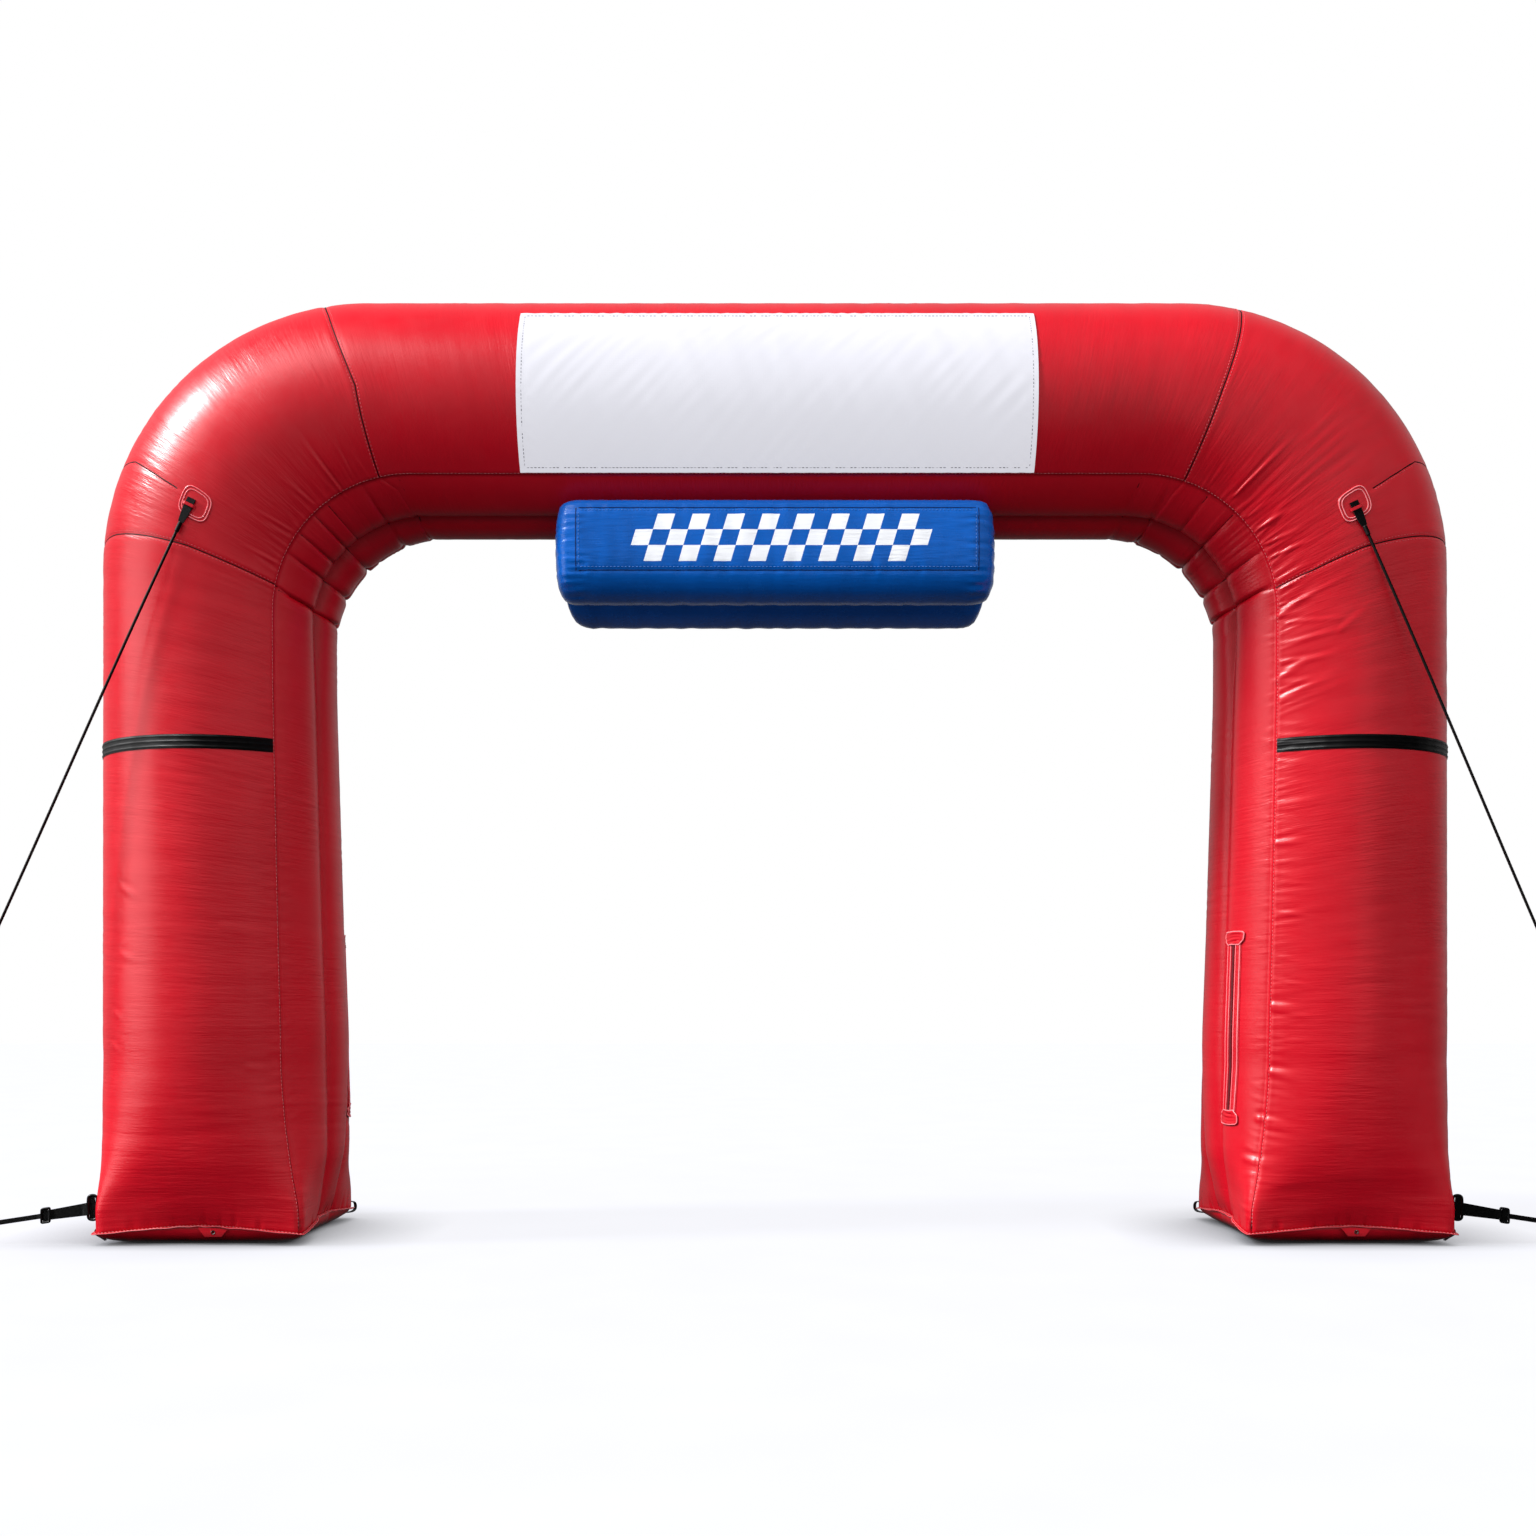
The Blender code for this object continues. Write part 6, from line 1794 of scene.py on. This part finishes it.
def make_patches():
    """Guy patches on the shoulders, and the fabric bridges that hold the webbing on them."""
    for side in SIDES:
        make_patch(side)
    for line in GUY_LINES:
        start, _, down, across = guy_frame(line)
        path = [
            start + down * LOOP_AT + across * (LOOP_FOOT * place) + Vector((0, GUY_WEBBING / 2 + GAP - lift, 0))
            for place, lift in BRIDGE_MARKS
        ]
        sweep(
            named("guy_bridge", line.side), resample([tuple(p) for p in path], BRIDGE_STEP),
            strip_profile(BRIDGE_THICK, BRIDGE_WIDTH, 6), down, "red", named("guy_loop", line.side),
        )


def make_eyelet_tabs():
    """Flaps below the base seam with their pressed steel eyelets."""
    for side in SIDES:
        node = frame["nodes"][named("eyelet_tab", side)]
        node.data.materials.clear()
        node.data.materials.append(finish_of("red"))
        refined(named("base_eyelet", side), named("pressed_eyelet", side), "steel", EYELET_GROWTH)


# Stage.

CAMERA_PLACE = (0.0, -7.71, 1.105)
CAMERA_LENS, CAMERA_SHIFT = 38.55, (-0.0046, 0.148)
KEY_WAY, KEY_ANGLE = (0.75, 0.135, -0.65), 9
# Soft panels: place, the point that each one faces, and width and height.
PANELS = {
    "left_panel": ((-11.5, -3.2, 3.0), (-2.6, 0.0, 2.0), (6.0, 6.0)),
    "strip": ((5.6, -9.0, 2.4), (0.5, 0.0, 2.2), (0.8, 5.0)),
    "top": ((-4.2, -3.0, 8.2), (-1.6, 0.0, 3.4), (3.0, 2.2)),
}


def hang(data, place, way):
    """Hangs a lamp that shines along a direction."""
    lamp = bpy.data.objects.new(data.name, data)
    lamp.location = place
    lamp.rotation_euler = way.to_track_quat("-Z", "Y").to_euler()
    bpy.context.scene.collection.objects.link(lamp)


def area_light(name, place, target, size, power):
    """A soft white panel that faces a target."""
    data = bpy.data.lights.new(name, "AREA")
    data.shape, data.size, data.size_y = "RECTANGLE", *size
    data.energy = power
    hang(data, place, Vector(target) - Vector(place))


def studio_world(props):
    """White surroundings that light from above, and show in the gloss only behind the arch."""
    world = bpy.data.worlds.new("studio")
    world.use_nodes = True
    tree = world.node_tree
    way = add(tree, "ShaderNodeSeparateXYZ", {"Vector": add(tree, "ShaderNodeTexCoord").outputs["Generated"]}).outputs
    below = ranged(tree, way["Z"], -0.75, 0.0, props.fill * 0.12, props.fill)
    above = ranged(tree, way["Z"], 0.0, 0.9, 0.0, props.fill * 0.45)
    soft = maths(tree, "ADD", below, above)
    rear = ranged(tree, way["Y"], 0.15, 0.65, 0.0, 0.42)
    behind = maths(tree, "MULTIPLY", rear, ranged(tree, way["Z"], -0.25, 0.1, 0.15, 1.0))
    rays = add(tree, "ShaderNodeLightPath").outputs
    gloss = add(tree, "ShaderNodeMix", {"Factor": rays["Is Glossy Ray"], "A": soft, "B": behind}, data_type="FLOAT")
    seen = add(tree, "ShaderNodeMix", {
        "Factor": rays["Is Camera Ray"], "A": gloss.outputs["Result"], "B": 1.0,
    }, data_type="FLOAT")
    background = tree.nodes["Background"]
    background.inputs["Color"].default_value = linear("#FFFFFF")
    tree.links.new(seen.outputs["Result"], background.inputs["Strength"])
    # The strength depends on the kind of ray, which light sampling would not see.
    world.cycles.sampling_method = "NONE"
    return world


def make_stage():
    """Camera, pale floor, white surroundings and soft studio lights."""
    scene = bpy.context.scene
    props = scene.arch_stage
    camera = bpy.data.objects.new("camera", bpy.data.cameras.new("camera"))
    camera.location, camera.rotation_euler = CAMERA_PLACE, (math.pi / 2, 0.0, 0.0)
    camera.data.lens, camera.data.sensor_width = CAMERA_LENS, 36.0
    camera.data.shift_x, camera.data.shift_y = CAMERA_SHIFT
    scene.collection.objects.link(camera)
    scene.camera = camera

    bpy.ops.object.select_all(action="DESELECT")
    bpy.ops.mesh.primitive_plane_add(size=props.floor_size, location=(0.0, 0.0, -0.0005))
    floor = bpy.context.view_layer.objects.active
    floor.name = "floor"
    bpy.ops.object.transform_apply(location=True, rotation=True, scale=True)
    floor.data.materials.append(finish_of("floor"))
    floor.visible_glossy = False

    scene.world = studio_world(props)
    sun = bpy.data.lights.new("key", "SUN")
    sun.energy, sun.angle = props.key, math.radians(KEY_ANGLE)
    hang(sun, (0.0, 0.0, 0.0), Vector(KEY_WAY))
    for name, power in (("left_panel", props.panel), ("strip", props.strip), ("top", props.top)):
        area_light(name, *PANELS[name], power)
    scene.view_settings.view_transform = "Standard"


def colour_property(name, description, hex_colour):
    return bpy.props.FloatVectorProperty(
        name=name, description=description, default=linear(hex_colour)[:3], size=3, min=0.0, max=1.0, subtype="COLOR"
    )


class ArchLooks(bpy.types.PropertyGroup):
    """Sizes and colours of the arch's dressing."""

    stitch_length: bpy.props.FloatProperty(
        name="Stitch", description="Length of a stitch on the tube's seams", default=0.0105, min=0.002,
        max=0.03, unit="LENGTH",
    )
    stitch_pitch: bpy.props.FloatProperty(
        name="Stitch Pitch", description="Distance from one stitch to the next", default=0.0165, min=0.004,
        max=0.05, unit="LENGTH",
    )
    wrinkle_share: bpy.props.FloatProperty(
        name="Wrinkles", description="Depth of the tube's small wrinkles, as a share of the usual depth", default=1.0,
        min=0.0, max=2.0, subtype="FACTOR",
    )
    tube_colour: colour_property("Tube", "Colour of the tube's fabric", "#B60319")
    pillow_colour: colour_property("Pillow", "Colour of the pillow's fabric", "#0159B5")
    print_colour: colour_property("Print", "Colour of the pattern on the pillow", "#F1F3F8")
    thread_colour: colour_property("Thread", "Colour of the thread in the tube's seams", "#E38387")
    pillow_thread_colour: colour_property("Pillow Thread", "Colour of the thread in the pillow's seams", "#5582CE")


class ArchStage(bpy.types.PropertyGroup):
    """Sizes and strengths of the studio."""

    floor_size: bpy.props.FloatProperty(
        name="Floor", description="Width of the floor", default=60.0, min=10.0, unit="LENGTH"
    )
    fill: bpy.props.FloatProperty(
        name="Fill", description="Strength of the even light from all round", default=1.10, min=0.0
    )
    key: bpy.props.FloatProperty(
        name="Key", description="Strength of the key light, from the upper left", default=5.2, min=0.0
    )
    panel: bpy.props.FloatProperty(
        name="Panel", description="Power of the large soft panel at the left", default=330.0, min=0.0, unit="POWER"
    )
    strip: bpy.props.FloatProperty(
        name="Strip", description="Power of the soft panel at the right", default=14.0, min=0.0, unit="POWER"
    )
    top: bpy.props.FloatProperty(
        name="Top", description="Power of the soft panel above the left shoulder", default=110.0, min=0.0,
        unit="POWER",
    )


class ARCH_OT_stage(bpy.types.Operator):
    """Builds the camera, the floor, the surroundings and the lights."""

    bl_idname = "arch.stage"
    bl_label = "Stage"
    bl_options = {"REGISTER", "UNDO"}

    def execute(self, context):
        make_stage()
        return {"FINISHED"}


class ARCH_OT_guy_lines(bpy.types.Operator):
    """Builds the ropes, sleeves and webbing that hold the shoulders."""

    bl_idname = "arch.guy_lines"
    bl_label = "Guy Lines"
    bl_options = {"REGISTER", "UNDO"}

    def execute(self, context):
        make_guy_lines()
        return {"FINISHED"}


class ARCH_OT_anchors(bpy.types.Operator):
    """Builds the rings, webbing, buckles and straps that hold the bases."""

    bl_idname = "arch.anchors"
    bl_label = "Ground Anchors"
    bl_options = {"REGISTER", "UNDO"}

    def execute(self, context):
        make_anchors()
        return {"FINISHED"}


class ARCH_OT_tube(bpy.types.Operator):
    """Builds the red tube's skin with its wrinkles and puckers."""

    bl_idname = "arch.tube"
    bl_label = "Inflated Tube"
    bl_options = {"REGISTER", "UNDO"}

    def execute(self, context):
        make_tube()
        return {"FINISHED"}


class ARCH_OT_seams(bpy.types.Operator):
    """Builds the painted shade lines and stitches of the tube's seams, creases and tucks."""

    bl_idname = "arch.seams"
    bl_label = "Seam Stitches"
    bl_options = {"REGISTER", "UNDO"}

    def execute(self, context):
        make_seams()
        return {"FINISHED"}


class ARCH_OT_base_seams(bpy.types.Operator):
    """Builds the flanges of the base seams, with their cut edges and stitches."""

    bl_idname = "arch.base_seams"
    bl_label = "Base Seams"
    bl_options = {"REGISTER", "UNDO"}

    def execute(self, context):
        make_base_seams()
        return {"FINISHED"}


class ARCH_OT_pillow(bpy.types.Operator):
    """Builds the blue pillow with its stitched front panel."""

    bl_idname = "arch.pillow"
    bl_label = "Pillow"
    bl_options = {"REGISTER", "UNDO"}

    def execute(self, context):
        make_pillow()
        return {"FINISHED"}


class ARCH_OT_banner(bpy.types.Operator):
    """Builds the white banner cloth with its hem and stitches."""

    bl_idname = "arch.banner"
    bl_label = "Banner"
    bl_options = {"REGISTER", "UNDO"}

    def execute(self, context):
        make_banner()
        return {"FINISHED"}


class ARCH_OT_bands(bpy.types.Operator):
    """Builds the webbing bands across the legs."""

    bl_idname = "arch.bands"
    bl_label = "Leg Bands"
    bl_options = {"REGISTER", "UNDO"}

    def execute(self, context):
        make_bands()
        return {"FINISHED"}


class ARCH_OT_zips(bpy.types.Operator):
    """Builds the zips with their flaps and piping."""

    bl_idname = "arch.zips"
    bl_label = "Deflation Zips"
    bl_options = {"REGISTER", "UNDO"}

    def execute(self, context):
        make_zips()
        return {"FINISHED"}


class ARCH_OT_patches(bpy.types.Operator):
    """Builds the fabric patches under the guy webbing, and the bridges over it."""

    bl_idname = "arch.patches"
    bl_label = "Guy Patches"
    bl_options = {"REGISTER", "UNDO"}

    def execute(self, context):
        make_patches()
        return {"FINISHED"}


class ARCH_OT_eyelet_tabs(bpy.types.Operator):
    """Builds the tabs with eyelets below the base seams."""

    bl_idname = "arch.eyelet_tabs"
    bl_label = "Eyelet Tabs"
    bl_options = {"REGISTER", "UNDO"}

    def execute(self, context):
        make_eyelet_tabs()
        return {"FINISHED"}


OPERATORS = (
    ARCH_OT_stage, ARCH_OT_guy_lines, ARCH_OT_anchors, ARCH_OT_tube, ARCH_OT_seams, ARCH_OT_base_seams,
    ARCH_OT_pillow, ARCH_OT_banner, ARCH_OT_bands, ARCH_OT_zips, ARCH_OT_patches, ARCH_OT_eyelet_tabs,
)


class ARCH_PT_panel(bpy.types.Panel):
    """The pieces of the arch, in the order in which they are built."""

    bl_label = "Inflatable Arch"
    bl_idname = "ARCH_PT_panel"
    bl_space_type = "VIEW_3D"
    bl_region_type = "UI"
    bl_category = "Arch"

    def draw(self, context):
        layout = self.layout
        for group in (context.scene.arch_looks, context.scene.arch_stage):
            for name in group.__annotations__:
                layout.prop(group, name)
        for made in OPERATORS:
            layout.operator(made.bl_idname)


CLASSES = (ArchLooks, ArchStage, *OPERATORS, ARCH_PT_panel)


def register():
    for made in CLASSES:
        bpy.utils.register_class(made)
    bpy.types.Scene.arch_looks = bpy.props.PointerProperty(type=ArchLooks)
    bpy.types.Scene.arch_stage = bpy.props.PointerProperty(type=ArchStage)


def unregister():
    del bpy.types.Scene.arch_stage
    del bpy.types.Scene.arch_looks
    for made in reversed(CLASSES):
        bpy.utils.unregister_class(made)


def main():
    register()
    for made in OPERATORS:
        group, name = made.bl_idname.split(".")
        getattr(getattr(bpy.ops, group), name)()


if __name__ == "__main__":
    main()
